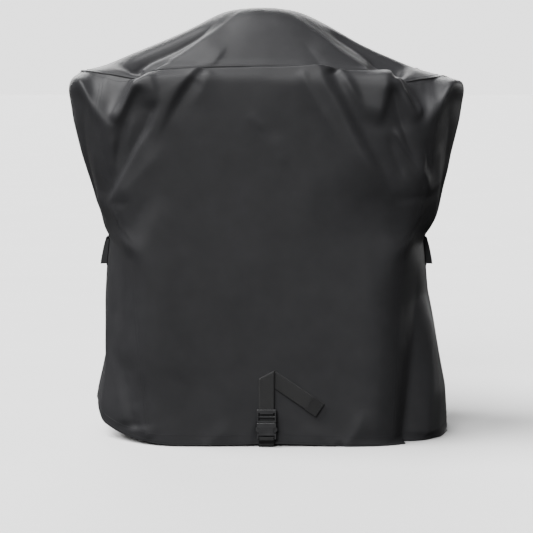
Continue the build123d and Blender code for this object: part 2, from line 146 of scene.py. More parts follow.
# Folds of the walls, as seen from the front, each with its line from top to bottom as x and height, its
# height, its width on the right and on the left of the line, and how softly its two ends fade.
FRONT_FOLDS = (
    # upper left: edge of the corner pocket, hollow beside it, small peak, long creases to the waist
    (((-247, 700), (-268, 662), (-292, 620)), 7, 12, 9, 0.1, 0.1),
    (((-233, 690), (-254, 652), (-271, 612), (-284, 560), (-300, 488)), -8, 16, 15, 0.1, 0.4),
    (((-222, 716), (-212, 684), (-204, 650)), 3, 5, 18, 0.1, 0.5),
    (((-203, 660), (-225, 609), (-247, 574), (-287, 502), (-314, 460)), -9, 3, 34, 0.12, 0.1),
    (
        ((-84, 758), (-125, 720), (-146, 700), (-162, 679), (-180, 648), (-197, 612), (-216, 580)),
        7, 4, 32, 0.02, 0.5,
    ),
    (((-136, 706), (-166, 664), (-196, 615)), -3, 18, 8, 0.1, 0.5),
    (((-180, 590), (-214, 546), (-250, 505), (-290, 470)), 2.6, 26, 16, 0.4, 0.2),
    (((-250, 640), (-256, 604), (-266, 560)), 2.6, 8, 8, 0.4, 0.4),
    (((-290, 600), (-293, 560), (-298, 510)), 3, 6, 6, 0.3, 0.3),
    (((-104, 716), (-122, 680), (-146, 636)), 2.5, 16, 9, 0.1, 0.6),
    # upper right: the same, seen from its shaded side
    (
        ((30, 820), (94, 716), (111, 689), (129, 664), (178, 565), (232, 478), (262, 430)),
        20, 20, 85, 0.02, 0.35,
    ),
    (((80, 800), (150, 700), (190, 610), (240, 500), (272, 400)), 9, 70, 50, 0.02, 0.4),
    (((118, 712), (146, 662), (200, 560), (246, 480)), -10, 36, 8, 0.04, 0.3),
    (((62, 712), (104, 641), (150, 560)), 3, 5, 12, 0.1, 0.5),
    (((134, 716), (158, 688), (186, 640)), 7, 4, 14, 0.1, 0.5),
    (((234, 716), (222, 664), (208, 606)), 12, 6, 40, 0.05, 0.35),
    (((238, 690), (245, 641), (262, 584), (292, 510)), -9, 10, 12, 0.1, 0.3),
    (((237, 612), (252, 582), (277, 542), (298, 506), (314, 474)), 8, 18, 4, 0.15, 0.1),
    (((246, 700), (269, 660), (290, 626)), 9, 9, 14, 0.05, 0.1),
    (((228, 602), (238, 560), (262, 505)), -4, 9, 9, 0.3, 0.3),
    (((300, 596), (304, 560), (310, 500)), -3, 8, 8, 0.3, 0.3),
    # middle
    (((-37, 639), (-20, 620), (-2, 600)), 1.2, 6, 8, 0.4, 0.4),
    (((12, 606), (24, 566), (39, 524)), 1.4, 14, 14, 0.4, 0.4),
    # across, at the waist
    (((-314, 464), (-285, 461), (-244, 466)), -1.6, 7, 5, 0.0, 0.5),
    (((228, 468), (262, 472), (300, 474)), -2.6, 7, 4, 0.4, 0.0),
    (((-310, 420), (-270, 416), (-200, 404)), -1.6, 18, 26, 0.0, 0.6),
    (((310, 402), (270, 405), (200, 408)), -2.0, 18, 26, 0.0, 0.6),
    # lower left
    (((-302, 170), (-292, 127), (-277, 66), (-272, 30)), 4.5, 12, 14, 0.2, 0.1),
    (((-284, 184), (-272, 120), (-254, 30)), -7, 18, 10, 0.3, 0.0),
    (((-258, 85), (-243, 43), (-222, 12)), 2.5, 12, 10, 0.3, 0.1),
    (((-224, 400), (-230, 220), (-236, 90)), 4, 40, 30, 0.3, 0.3),
    (((-279, 393), (-288, 298), (-294, 194)), -5, 24, 24, 0.2, 0.4),
    # lower right: the deep hollow beside the flared end
    (((292, 352), (296, 280), (291, 184), (284, 90), (276, 0)), -24, 15, 24, 0.3, 0.0),
    (((315, 279), (319, 184), (317, 90), (308, 12)), 10, 20, 14, 0.35, 0.0),
    (((222, 279), (214, 146), (208, 12)), 2.2, 18, 30, 0.4, 0.1),
    # the hem, drawn in at the strap
    (((-28, 34), (2, 26), (33, 34)), -3.5, 26, 30, 0.3, 0.3),
    (((-58, 42), (-96, 20), (-117, -2)), 1.8, 14, 14, 0.5, 0.0),
    (((64, 42), (106, 20), (129, -2)), 2.0, 14, 14, 0.5, 0.0),
    (((190, 78), (174, 32), (150, 0)), 2.8, 14, 14, 0.5, 0.0),
)  # fmt: skip

# Folds of the dome, as seen from the front.
DOME_FOLDS = (
    (((-90, 815), (-142, 778), (-184, 755), (-229, 736), (-247, 724), (-254, 706)), -42, 7, 22, 0.35, 0.03),
    (((-74, 806), (-122, 776), (-170, 750), (-214, 728), (-240, 708)), 9, 22, 6, 0.3, 0.05),
    (((-74, 764), (-89, 742), (-108, 716)), 3, 4, 18, 0.5, 0.05),
    (((-160, 745), (-184, 732), (-214, 716)), 3, 6, 6, 0.3, 0.2),
    (
        ((104, 800), (150, 775), (182, 755), (205, 738), (228, 725), (250, 713), (266, 698)),
        -18, 30, 11, 0.35, 0.03,
    ),
    (((80, 806), (124, 776), (164, 752), (206, 722)), 9, 7, 26, 0.4, 0.1),
    (((66, 772), (84, 748), (108, 716)), -2, 10, 8, 0.4, 0.2),
    (((-241, 725), (-294, 713), (-325, 710)), 4, 10, 10, 0.3, 0.2),
    (((262, 725), (300, 713), (327, 704)), 4, 10, 10, 0.3, 0.2),
)  # fmt: skip

# Where the dome's cloth drops away on its right, seen from the front.
DOME_DROPS = (
    (
        ((104, 806), (150, 779), (182, 759), (205, 742), (228, 729), (250, 716), (262, 704)),
        -30, 42, 9, 0.3, 0.05,
    ),
)  # fmt: skip

# Folds of the ends, in depth (towards the back) and height, drawn upwards.
END_FOLDS = (
    # long creases from the corners in to the waist
    (((-30, 424), (-84, 510), (-132, 600), (-178, 684)), -6, 16, 30, 0.3, 0.1),
    (((-104, 424), (-134, 500), (-168, 580)), 5, 14, 24, 0.2, 0.3),
    (((88, 424), (122, 520), (150, 600), (180, 684)), 6, 30, 12, 0.3, 0.1),
    (((150, 430), (160, 500), (176, 570)), -4, 12, 16, 0.2, 0.3),
    # below the vent
    (((-120, 0), (-100, 200), (-110, 330)), 6, 18, 24, 0.4, 0.0),
    (((104, 0), (96, 190), (124, 330)), 5, 26, 18, 0.4, 0.0),
    (((-38, 0), (-18, 150), (-34, 270)), -5, 34, 30, 0.4, 0.0),
    (((62, 20), (52, 130), (58, 210)), 3, 16, 18, 0.4, 0.1),
    (((-190, 410), (-130, 402), (-70, 408)), -2, 9, 14, 0.0, 0.3),
)  # fmt: skip
END_DOME_FOLDS = (
    (((-120, 722), (-84, 752), (-50, 790)), 5, 14, 8, 0.1, 0.4),
    (((110, 722), (80, 750), (40, 786)), 5, 8, 14, 0.1, 0.4),
    (((-60, 716), (-40, 742), (-30, 770)), -5, 12, 12, 0.1, 0.4),
    (((50, 716), (44, 744), (20, 776)), -5, 12, 12, 0.1, 0.4),
)


def table(rows, at):
    """A measurement read from its table, by straight lines between the rows."""
    return np.interp(at, [r[0] for r in rows], [r[1] for r in rows])


# ---------------------------------------------------------------- the shell as one grid

FRONT = np.arange(0, FRONT_CELLS + 1)
RIGHT = np.arange(FRONT_CELLS, FRONT_CELLS + SIDE_CELLS + 1)
BACK = np.arange(FRONT_CELLS + SIDE_CELLS, 2 * FRONT_CELLS + SIDE_CELLS + 1)
LEFT = np.arange(2 * FRONT_CELLS + SIDE_CELLS, COLUMNS + 1) % COLUMNS


def outline(z):
    """x and depth of every column at its own height; z has one row of heights per level."""
    x, y = np.zeros_like(z), np.zeros_like(z)
    share = {
        "front": (FRONT[:-1], np.arange(FRONT_CELLS) / FRONT_CELLS),
        "right": (RIGHT[:-1], np.arange(SIDE_CELLS) / SIDE_CELLS),
        "back": (BACK[:-1], np.arange(FRONT_CELLS) / FRONT_CELLS),
        "left": (LEFT[:-1], np.arange(SIDE_CELLS) / SIDE_CELLS),
    }
    for name, (columns, t) in share.items():
        height = z[:, columns]
        if name in ("front", "back"):
            low, high = -table(LEFT_CORNER, height), table(RIGHT_CORNER, height)
            if name == "back":
                low, high = high, low
            x[:, columns] = low + (high - low) * t
            y[:, columns] = -HALF_DEPTH if name == "front" else HALF_DEPTH
            continue
        corner, reach = (
            (table(RIGHT_CORNER, height), table(RIGHT_REACH, height))
            if name == "right"
            else (table(LEFT_CORNER, height), table(LEFT_REACH, height))
        )
        bulge = reach - corner
        radius = (HALF_DEPTH**2 + bulge**2) / (2 * bulge)
        angle = np.arcsin(HALF_DEPTH / radius) * (2 * t - 1)
        out = reach - radius + radius * np.cos(angle)
        x[:, columns] = out if name == "right" else -out
        y[:, columns] = radius * np.sin(angle) * (1 if name == "right" else -1)
    return x, y


def blurred(p, rows, columns, mask=None):
    """The grid smoothed a few cells along its rows' and columns' directions, by a mask."""
    out = p.copy()
    for direction, times in ((0, rows), (1, columns)):
        for _ in range(times):
            if direction == 1:
                near = (np.roll(out, 1, 1) + np.roll(out, -1, 1)) / 2
            else:
                near = out.copy()
                near[1:-1] = (out[:-2] + out[2:]) / 2
            step = 0.5 if mask is None else 0.5 * mask[..., None]
            out = out + (near - out) * step
    return out


def normals_of(p):
    """Outward normals of a grid that is closed along its columns."""
    along = np.roll(p, -1, 1) - np.roll(p, 1, 1)
    up = np.gradient(p, axis=0)
    n = np.cross(along, up)
    return n / np.maximum(np.linalg.norm(n, axis=2, keepdims=True), 1e-9)


# Heights at which each column's hem, rim and welt lie.
base_x, base_y = outline(np.full((1, COLUMNS), 690.0))
base_x, base_y = base_x[0], base_y[0]
is_front = np.isin(np.arange(COLUMNS), FRONT)
is_back = np.isin(np.arange(COLUMNS), BACK)
is_end = ~(is_front | is_back)
on_left = base_x < 0

hem_x, hem_y = outline(np.full((1, COLUMNS), 10.0))
hem_x, hem_y = hem_x[0], hem_y[0]
hem_z = np.where(
    hem_y < -100,
    np.interp(hem_x, (-340, -190, -70, 0, 120, 180, 260), (8, 3.5, 3.5, 6, 3.5, 0.6, 0.3)),
    np.interp(hem_x, (-200, 0, 200), (2.5, 5.5, 1.0)),
)
hem_z = np.where(is_end & on_left, 3 + LEFT_HEM_RISE * np.exp(-(((hem_y + 6) / 125) ** 2)), hem_z)
hem_z = np.where(is_end & ~on_left, 0.8, hem_z)
hem_z = blurred(hem_z[None, :, None], 0, 40)[0, :, 0]
hem_z -= hem_z.min() - 0.2

pocket = np.clip(1 - (np.abs(np.abs(base_x) - POCKET_MIDDLE) / POCKET_HALF) ** 1.6, 0, 1)
rim_z = FRONT_RIM - np.where(base_y < 0, FRONT_POCKET_DEPTH, BACK_POCKET_DEPTH) * pocket
end_pocket = np.exp(-(((HALF_DEPTH - np.abs(base_y)) / 34) ** 2))
rim_z = np.where(is_end, END_RIM - END_POCKET_DEPTH * end_pocket, rim_z)
rim_z = np.minimum(rim_z, np.where(on_left, END_RIM, RIGHT_RIM_LIMIT))
rim_z = blurred(rim_z[None, :, None], 0, 14)[0, :, 0]

welt_x = np.where(is_end, 0, base_x * WELT_FRONT_SHARE)
reach = np.where(on_left, LEFT_WELT_REACH, RIGHT_WELT_REACH)


def other_half_axis(share):
    """How far a squarish oval reaches along one axis, for a share of its reach along the other."""
    return np.maximum(1 - share**WELT_SQUARENESS, 0) ** (1 / WELT_SQUARENESS)


corner_y = WELT_DEPTH * other_half_axis(SHOULDER_CORNER * WELT_FRONT_SHARE / reach)
welt_y = WELT_DEPTH * other_half_axis(np.abs(welt_x) / reach)
welt_y = np.where(is_back, welt_y, -welt_y)
welt_y = np.where(is_end, base_y / HALF_DEPTH * corner_y, welt_y)
end_x = reach * other_half_axis(np.abs(welt_y) / WELT_DEPTH)
welt_x = np.where(is_end, np.where(on_left, -end_x, end_x), welt_x)
front_level = table(WELT_FRONT, welt_x)
welt_z = np.where(is_back, 721 - 16 * np.exp(-(((np.abs(welt_x) - 250) / 45) ** 2)), front_level)
end_share = np.clip(np.abs(welt_y) / corner_y, 0, 1)
end_level = np.where(on_left, LEFT_END_WELT, RIGHT_END_WELT)
welt_z = np.where(is_end, end_level + (front_level - end_level) * end_share**2, welt_z)
welt_ring = blurred(np.stack([welt_x, welt_y, welt_z], 1)[None], 0, 4)[0]

# Wall rows from hem to rim, then brow rows from rim to welt.
t = np.linspace(0, 1, WALL_ROWS + 1)[:, None]
wall_z = hem_z + (rim_z - hem_z) * t
wall_x, wall_y = outline(wall_z)
lean = 4 * np.clip((wall_z - 600) / 100, 0, 1) ** 2
wall_y = np.where(is_front | is_back, np.sign(wall_y) * (np.abs(wall_y) - lean), wall_y)
wall = np.stack([wall_x, wall_y, wall_z], 2)
t = np.linspace(0, 1, BROW_ROWS + 1)[1:, None, None]
brow = wall[-1] + (welt_ring - wall[-1]) * t
shell = np.concatenate([wall, brow])

# Rounded corners, softest at the hem, and a soft turn at the rim. The vents' surroundings stay as they are.
CORNERS = (FRONT[0], RIGHT[0], BACK[0], LEFT[0])
column = np.arange(COLUMNS)
corner_gaps = [np.abs((column - c + COLUMNS // 2) % COLUMNS - COLUMNS // 2) for c in CORNERS]
corner_gap = np.min(corner_gaps, axis=0)
height = shell[:, :, 2]
upper = smooth_step((height - 380) / 60) * smooth_step((705 - height) / 60)
lower = smooth_step((400 - height) / 100)
near_corner = np.exp(-((corner_gap[None, :] / (20 + 18 * upper)) ** 4))
near_corner *= np.clip(0.12 + upper + 0.3 * lower, 0, 1)
row_number = np.arange(len(shell))[:, None]
near_rim = np.exp(-(((row_number - WALL_ROWS) / 4.0) ** 2)) * np.ones((1, COLUMNS))
pinned = (row_number == len(shell) - 1) * np.ones((1, COLUMNS))
vent_zone = (
    smooth_step((height - 318) / 10)
    * smooth_step((402 - height) / 8)
    * smooth_step((84 - np.abs(shell[:, :, 1])) / 22)
    * is_end[None, :]
)
free = (1 - pinned) * (1 - vent_zone)
shell[..., :2] = blurred(shell[..., :2], 0, 700, near_corner * free)
shell = blurred(shell, 5, 3, np.clip(near_rim, 0, 1) * free)
shell = blurred(shell, 3, 2, free)


def apply_folds(p, front_folds, end_folds, hold, back_share, outward=None):
    """Moves a grid along its normals, or along the outward directions given, by the folds drawn on its
    front and its ends. The back has the front's, mirrored, at a share of their heights."""
    n = normals_of(p)
    x, y, z = p[..., 0], p[..., 1], p[..., 2]
    lift_front, lift_back, lift_end = np.zeros_like(x), np.zeros_like(x), np.zeros_like(x)
    for line, height, right, left, fade_in, fade_out in front_folds:
        lift_front += fold(x, z, line, height, right, left, fade_in, fade_out)
        moved = [(px + 6 * math.sin(pz / 40) + 4, pz) for px, pz in line]
        wide = BACK_WIDTH * right, BACK_WIDTH * left
        lift_back += back_share * fold(-x, z, moved, height, *wide, fade_in, fade_out)
    for line, height, right, left, fade_in, fade_out in end_folds:
        lift_end += fold(y, z, line[::-1], height, right, left, fade_in, fade_out)
    facing_front = smooth_step((-y - 60) / 90)
    facing_back = smooth_step((y - 60) / 90)
    sideways = smooth_step((np.abs(n[..., 0]) - 0.55) / 0.35)
    lift = lift_front * facing_front * (1 - 0.5 * sideways) + lift_back * facing_back * (1 - 0.5 * sideways)
    lift = lift + lift_end * sideways * (1 - 0.5 * facing_front)
    if outward is not None:
        n = outward
    return p + n * (lift * hold)[..., None]


welt_gap = len(shell) - 1 - row_number
hold = (1 - pinned) * smooth_step(welt_gap / 3.0) * (1 - vent_zone)
shell = apply_folds(shell, FRONT_FOLDS, END_FOLDS, hold, BACK_WALL_SHARE)

# Small puckers where the cloth is gathered into the welt, strongest over the corner pockets.
PUCKERS = 70
pucker = np.zeros(COLUMNS)
for _ in range(PUCKERS):
    at, size, width = rng.uniform(0, COLUMNS), rng.uniform(-1.6, 1.6), rng.uniform(0.9, 2.4)
    gap = (column - at + COLUMNS / 2) % COLUMNS - COLUMNS / 2
    pucker += size * np.exp(-((gap / width) ** 2))
gathered = 0.25 + np.interp(np.abs(welt_ring[:, 0]), (190, 250, 330), (0.0, 1.0, 1.3))
puckers = pucker * gathered * np.exp(-((welt_gap / 4.5) ** 2)) * smooth_step(welt_gap / 1.5)
shell = shell + normals_of(shell) * puckers[..., None] * (1 - vent_zone[..., None])


def drift(p, scale, size, seed):
    """Slow unevenness of slack cloth: a few crossed waves of random direction."""
    waves = np.random.default_rng(seed)
    total = np.zeros(p.shape[:2])
    for _ in range(9):
        direction = waves.normal(size=3)
        direction /= np.linalg.norm(direction)
        total += np.sin(p @ direction / (scale * waves.uniform(0.7, 1.6)) + waves.uniform(0, 6.3))
    return total * size / 3


shell = shell + normals_of(shell) * (drift(shell, 34, 0.8, 3) * hold)[..., None]
shell = blurred(shell, 1, 1, free)


def pull_to_reach(p, stay):
    """Moves each level's ends in or out, so that its widest point comes back to the measured reach."""
    for sign, reaches in ((-1, LEFT_REACH), (1, RIGHT_REACH)):
        widest = (p[:, :, 0] * sign).argmax(1)
        level = p[np.arange(len(p)), widest, 2]
        short = table(reaches, level) - (p[:, :, 0] * sign).max(1)
        short = np.where(np.arange(len(p)) > WALL_ROWS - 3, 0, short)
        for _ in range(14):
            short[1:-1] = (short[:-2] + 2 * short[1:-1] + short[2:]) / 4
        ends = smooth_step((p[:, :, 0] * sign - 175) / 110)
        p[..., 0] += sign * short[:, None] * ends * stay
    return p


around_vent = (
    smooth_step((shell[..., 2] - 250) / 68)
    * smooth_step((440 - shell[..., 2]) / 38)
    * smooth_step((130 - np.abs(shell[..., 1])) / 68)
    * is_end[None, :]
)
shell = pull_to_reach(shell, 1 - np.maximum(vent_zone, around_vent))
shell[..., 1] += MIDDLE_Y
shell[..., 2] = np.maximum(shell[..., 2], 0.9)

# Dome rows from the welt to the crown, evenly spaced along its profile, then a cap that closes it.
PROFILE_RISE, PROFILE_REACH = 120, 240
rise = np.linspace(0, 1, 400)
widths = (np.interp(rise, DOME_RISE, DOME_LEFT), np.interp(rise, DOME_RISE, DOME_RIGHT))
profile_steps = np.hypot(np.diff(rise) * PROFILE_RISE, np.diff(widths[0]) * PROFILE_REACH)
profile = np.cumsum(np.concatenate([[0], profile_steps]))
rows_rise = np.interp(np.linspace(0, profile[-1], DOME_ROWS + 1), profile, rise)
left_width, right_width = (np.interp(rows_rise, rise, w)[:, None] for w in widths)
blend = smooth_step((welt_ring[:, 0] + 90) / 180)[None, :]
width = left_width * (1 - blend) + right_width * blend
dome = np.zeros((DOME_ROWS + 1, COLUMNS, 3))
dome[..., 0] = welt_ring[:, 0] * width - 4 * rows_rise[:, None]
dome[..., 1] = welt_ring[:, 1] * width**DOME_FULLNESS
dome[..., 2] = welt_ring[:, 2] + rows_rise[:, None] * (CROWN_Z - welt_ring[:, 2])
shrink = np.linspace(1, 0, CAP_ROWS + 1)[1:, None]
middle = dome[-1].mean(0)
cap = np.repeat(dome[-1][None], CAP_ROWS, 0)
cap[..., 0] = middle[0] + (cap[..., 0] - middle[0]) * shrink
cap[..., 1] = middle[1] + (cap[..., 1] - middle[1]) * shrink
cap[..., 2] += 1.2 * (1 - shrink**2)
dome = np.concatenate([dome, cap])
dome_row = np.arange(len(dome))[:, None]
loose = smooth_step(dome_row / 7.0) * (dome_row < len(dome) - 1) * np.ones((1, COLUMNS))
dome = blurred(dome, 4, 3, loose)
fade_up = loose * smooth_step((DOME_ROWS - 4 - dome_row) / 14.0)
level_out = normals_of(dome) * (1, 1.6, 0.15)
level_out /= np.maximum(np.linalg.norm(level_out, axis=2, keepdims=True), 1e-9)
dome = apply_folds(dome, DOME_DROPS, (), fade_up, BACK_DROP_SHARE)
dome = apply_folds(dome, DOME_FOLDS, END_DOME_FOLDS, fade_up, BACK_DOME_SHARE, level_out)
dome = dome + normals_of(dome) * (drift(dome, 40, 0.9, 5) * fade_up)[..., None]
dome = blurred(dome, 1, 1, loose * fade_up)
dome[..., 1] += MIDDLE_Y
dome[0] = shell[-1]

shell_normal, dome_normal = normals_of(shell), normals_of(dome)
dome_normal[-1] = (0, 0, 1)


# ---------------------------------------------------------------- materials


def node_setup(name):
    material = bpy.data.materials.new(name)
    material.use_nodes = True
    tree = material.node_tree
    return material, tree, tree.nodes["Principled BSDF"]


def link(tree, source, target):
    tree.links.new(source, target)


def add_node(tree, kind, numbers, links):
    """A shader node with its sockets set or linked, by name."""
    n = tree.nodes.new(kind)
    for socket, value in numbers.items():
        n.inputs[socket].default_value = value
    for socket, source in links.items():
        link(tree, source, n.inputs[socket])
    return n


def noise(tree, vector, scale, detail=2.0, roughness=0.5):
    numbers = {"Scale": scale, "Detail": detail, "Roughness": roughness}
    return add_node(tree, "ShaderNodeTexNoise", numbers, {"Vector": vector}).outputs["Fac"]


def wave(tree, vector, direction, scale, distortion=0.0):
    numbers = {"Scale": scale, "Distortion": distortion, "Detail": 1.0}
    n = add_node(tree, "ShaderNodeTexWave", numbers, {"Vector": vector})
    n.bands_direction = direction
    return n.outputs["Fac"]


def product(tree, a, b):
    n = tree.nodes.new("ShaderNodeMath")
    n.operation = "MULTIPLY"
    link(tree, a, n.inputs[0])
    link(tree, b, n.inputs[1])
    return n.outputs[0]


def weighted(tree, a, b, share):
    """a and b added, a with this share and b with the rest."""
    scaled = []
    for source, weight in ((a, share), (b, 1 - share)):
        n = tree.nodes.new("ShaderNodeMath")
        n.operation = "MULTIPLY"
        link(tree, source, n.inputs[0])
        n.inputs[1].default_value = weight
        scaled.append(n.outputs[0])
    total = tree.nodes.new("ShaderNodeMath")
    total.operation = "ADD"
    for socket, source in zip(total.inputs, scaled):
        link(tree, source, socket)
    return total.outputs[0]


def ramp(tree, fac, dark, light, low=0.3, high=0.7):
    n = add_node(tree, "ShaderNodeValToRGB", {}, {"Fac": fac})
    for stop, position, colour in zip(n.color_ramp.elements, (low, high), (dark, light)):
        stop.position = position
        stop.color = (*colour, 1)
    return n.outputs["Color"]


def levels(tree, fac, low, high):
    numbers = {"To Min": low, "To Max": high}
    return add_node(tree, "ShaderNodeMapRange", numbers, {"Value": fac}).outputs["Result"]


def bump(tree, height, strength, distance, below=None):
    numbers = {"Strength": strength, "Distance": distance}
    links = {"Height": height} if below is None else {"Height": height, "Normal": below}
    return add_node(tree, "ShaderNodeBump", numbers, links).outputs["Normal"]


def coordinates(tree, kind):
    return tree.nodes.new("ShaderNodeTexCoord").outputs[kind]


# A wave texture's scale times its spacing, with UVs in metres.
WAVE = 0.3142
LANE_WIDTH = 0.0025


def woven(name, dark, light, pitch, roughness, sheen, crumple=0.35, weave_depth=0.00012):
    """Plain-weave cloth with a thin coating. pitch is the distance between threads, in metres, as UVs are."""
    material, tree, shader = node_setup(name)
    uv, place = coordinates(tree, "UV"), coordinates(tree, "Object")
    warp = wave(tree, uv, "X", WAVE / pitch, 0.4)
    weft = wave(tree, uv, "Y", WAVE / pitch, 0.4)
    threads = product(tree, warp, weft)
    mottle = noise(tree, place, 26, 4, 0.55)
    slubs = noise(tree, uv, 420, 3, 0.7)
    shade = weighted(tree, mottle, slubs, 0.7)
    link(tree, ramp(tree, shade, dark, light, 0.32, 0.68), shader.inputs["Base Color"])
    link(tree, levels(tree, mottle, roughness - 0.05, roughness + 0.06), shader.inputs["Roughness"])
    crumples = bump(tree, noise(tree, place, 18, 5, 0.5), crumple, 0.004)
    link(tree, bump(tree, threads, 0.5, weave_depth, crumples), shader.inputs["Normal"])
    shader.inputs["Specular IOR Level"].default_value = 0.15
    shader.inputs["Sheen Weight"].default_value = sheen
    shader.inputs["Sheen Roughness"].default_value = 0.45
    return material


def ribbed(name, dark, light, pitch, roughness):
    """Nylon webbing: ribs across the strap, in lanes along it. UVs are metres, along and across."""
    material, tree, shader = node_setup(name)
    uv = coordinates(tree, "UV")
    ribs = wave(tree, uv, "X", WAVE / pitch)
    lanes = wave(tree, uv, "Y", WAVE / LANE_WIDTH)
    pattern = product(tree, ribs, levels(tree, lanes, 0.55, 1.0))
    fuzz = noise(tree, uv, 900, 3, 0.7)
    shade = weighted(tree, pattern, fuzz, 0.6)
    link(tree, ramp(tree, shade, dark, light, 0.15, 0.8), shader.inputs["Base Color"])
    link(tree, levels(tree, fuzz, roughness - 0.08, roughness + 0.08), shader.inputs["Roughness"])
    soft = bump(tree, fuzz, 0.3, 0.0002)
    link(tree, bump(tree, pattern, 0.9, 0.0004, soft), shader.inputs["Normal"])
    shader.inputs["Specular IOR Level"].default_value = 0.2
    shader.inputs["Sheen Weight"].default_value = 0.03
    shader.inputs["Sheen Roughness"].default_value = 0.5
    return material


def moulded(name, dark, light, roughness):
    """Moulded plastic with a fine spark-eroded grain and rubbed patches."""
    material, tree, shader = node_setup(name)
    place = coordinates(tree, "Object")
    rubbed = noise(tree, place, 60, 3, 0.6)
    grain = noise(tree, place, 2600, 2, 0.6)
    link(tree, ramp(tree, rubbed, dark, light, 0.35, 0.75), shader.inputs["Base Color"])
    link(tree, levels(tree, rubbed, roughness - 0.07, roughness + 0.1), shader.inputs["Roughness"])
    link(tree, bump(tree, grain, 0.25, 0.0001), shader.inputs["Normal"])
    shader.inputs["Specular IOR Level"].default_value = 0.5
    return material


shell_cloth = woven(
    "shell_cloth", (0.0185, 0.0185, 0.0198), (0.0225, 0.0225, 0.024), 0.0009, 0.46, 0.01, 0.12
)  # fmt: skip
# The tape cloth is darker than the shell cloth; on the welt piping this darkness is painted shade for the
# shadow along the seam.
tape_cloth = woven("tape_cloth", (0.010, 0.010, 0.011), (0.018, 0.018, 0.019), 0.0012, 0.7, 0.1, 0.1)
webbing = ribbed("webbing", (0.008, 0.008, 0.0082), (0.020, 0.020, 0.0205), 0.0016, 0.6)
thread = woven("thread", (0.014, 0.014, 0.015), (0.026, 0.026, 0.028), 0.0006, 0.6, 0.05, 0.0)
plastic = moulded("buckle_plastic", (0.012, 0.012, 0.013), (0.020, 0.020, 0.021), 0.34)
screen_thread = moulded("screen_thread", (0.010, 0.010, 0.010), (0.016, 0.016, 0.016), 0.5)
stay_stuff = moulded("stay_foam", (0.018, 0.018, 0.018), (0.030, 0.030, 0.030), 0.8)


# ---------------------------------------------------------------- mesh helpers


def make_piece(name, points, faces, uvs, material, body, sharp=()):
    """One object from points in millimetres, with UVs in metres for each point."""
    mesh = bpy.data.meshes.new(name)
    mesh.from_pydata((np.asarray(points) * MM).tolist(), [], [list(f) for f in faces])
    layer = mesh.uv_layers.new(name="metres")
    loops = np.zeros(len(mesh.loops), np.int32)
    mesh.loops.foreach_get("vertex_index", loops)
    layer.data.foreach_set("uv", np.asarray(uvs, np.float32)[loops].ravel())
    mesh.polygons.foreach_set("use_smooth", [True] * len(mesh.polygons))
    if len(sharp):
        marked = {tuple(sorted(e)) for e in sharp}
        flags = [tuple(sorted(e.vertices)) in marked for e in mesh.edges]
        mesh.attributes.new("sharp_edge", "BOOLEAN", "EDGE").data.foreach_set("value", flags)
    mesh.materials.append(material)
    mesh.update()
    piece = bpy.data.objects.new(name, mesh)
    bpy.context.scene.collection.objects.link(piece)
    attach(piece, body)
    return piece


def slab(name, outer, normal, thick, uv, material, body, closed=False, drop=None, weld_last=False):
    """A closed layer of cloth from a grid of its outer face. drop marks cells that are left open."""
    rows, columns = outer.shape[:2]
    inner = outer - normal * thick
    points = np.concatenate([outer.reshape(-1, 3), inner.reshape(-1, 3)])
    uvs = np.concatenate([uv.reshape(-1, 2)] * 2)
    back = rows * columns
    faces, edge_use = [], {}

    def use(a, b):
        key = (min(a, b), max(a, b))
        edge_use.setdefault(key, []).append((a, b))

    for r in range(rows - 1):
        for c in range(columns if closed else columns - 1):
            if drop is not None and drop[r, c]:
                continue
            d = (c + 1) % columns
            quad = (r * columns + c, r * columns + d, (r + 1) * columns + d, (r + 1) * columns + c)
            faces.append(quad)
            faces.append(tuple(i + back for i in reversed(quad)))
            for a, b in zip(quad, quad[1:] + quad[:1]):
                use(a, b)
    sharp = []
    for uses in edge_use.values():
        if len(uses) == 1:
            a, b = uses[0]
            if weld_last and a >= (rows - 1) * columns and b >= (rows - 1) * columns:
                continue
            faces.append((b, a, a + back, b + back))
            sharp += [(a, b), (a + back, b + back)]
    return make_piece(name, points, faces, uvs, material, body, sharp)


def grid_uv(p):
    """UVs of a grid in metres: mean distance along its columns' and rows' directions."""
    across = np.linalg.norm(np.diff(p, axis=1), axis=2).mean(0)
    up = np.linalg.norm(np.diff(p, axis=0), axis=2).mean(1)
    u = np.concatenate([[0], np.cumsum(across)]) * MM
    v = np.concatenate([[0], np.cumsum(up)]) * MM
    return np.stack(np.broadcast_arrays(u[None, :], v[:, None]), 2)


def distance_along(path):
    """How far along a line each of its points is."""
    return np.concatenate([[0], np.cumsum(np.linalg.norm(np.diff(path, axis=0), axis=1))])


def closed_tube(name, path, radius, material, body, sides=8):
    """A round tube along a closed line of points in millimetres."""
    ahead = np.roll(path, -1, 0) - np.roll(path, 1, 0)
    ahead /= np.linalg.norm(ahead, axis=1, keepdims=True)
    side = np.cross(ahead, np.array([0, 0, 1.0]) + 1e-4)
    side /= np.linalg.norm(side, axis=1, keepdims=True)
    lift = np.cross(side, ahead)
    angle = np.arange(sides) / sides * 2 * math.pi
    turned = np.cos(angle)[None, :, None] * side[:, None] + np.sin(angle)[None, :, None] * lift[:, None]
    ring = path[:, None] + radius * turned
    faces = []
    for i in range(len(path)):
        j = (i + 1) % len(path)
        for k in range(sides):
            m = (k + 1) % sides
            faces.append((i * sides + k, j * sides + k, j * sides + m, i * sides + m))
    run = distance_along(path) * MM
    uv = np.stack(np.broadcast_arrays(run[:, None], (angle * radius * MM)[None, :]), 2).reshape(-1, 2)
    return make_piece(name, ring.reshape(-1, 3), faces, uv, material, body)


def rod_faces(first, rings, sides):
    """Faces of a rod made of rings of points, with both ends closed."""
    faces = []
    for i in range(rings - 1):
        a, b = first + sides * i, first + sides * (i + 1)
        for j in range(sides):
            m = (j + 1) % sides
            faces.append((a + j, a + m, b + m, b + j))
    end = first + sides * (rings - 1)
    faces.append(tuple(first + j for j in reversed(range(sides))))
    faces.append(tuple(end + j for j in range(sides)))
    return faces


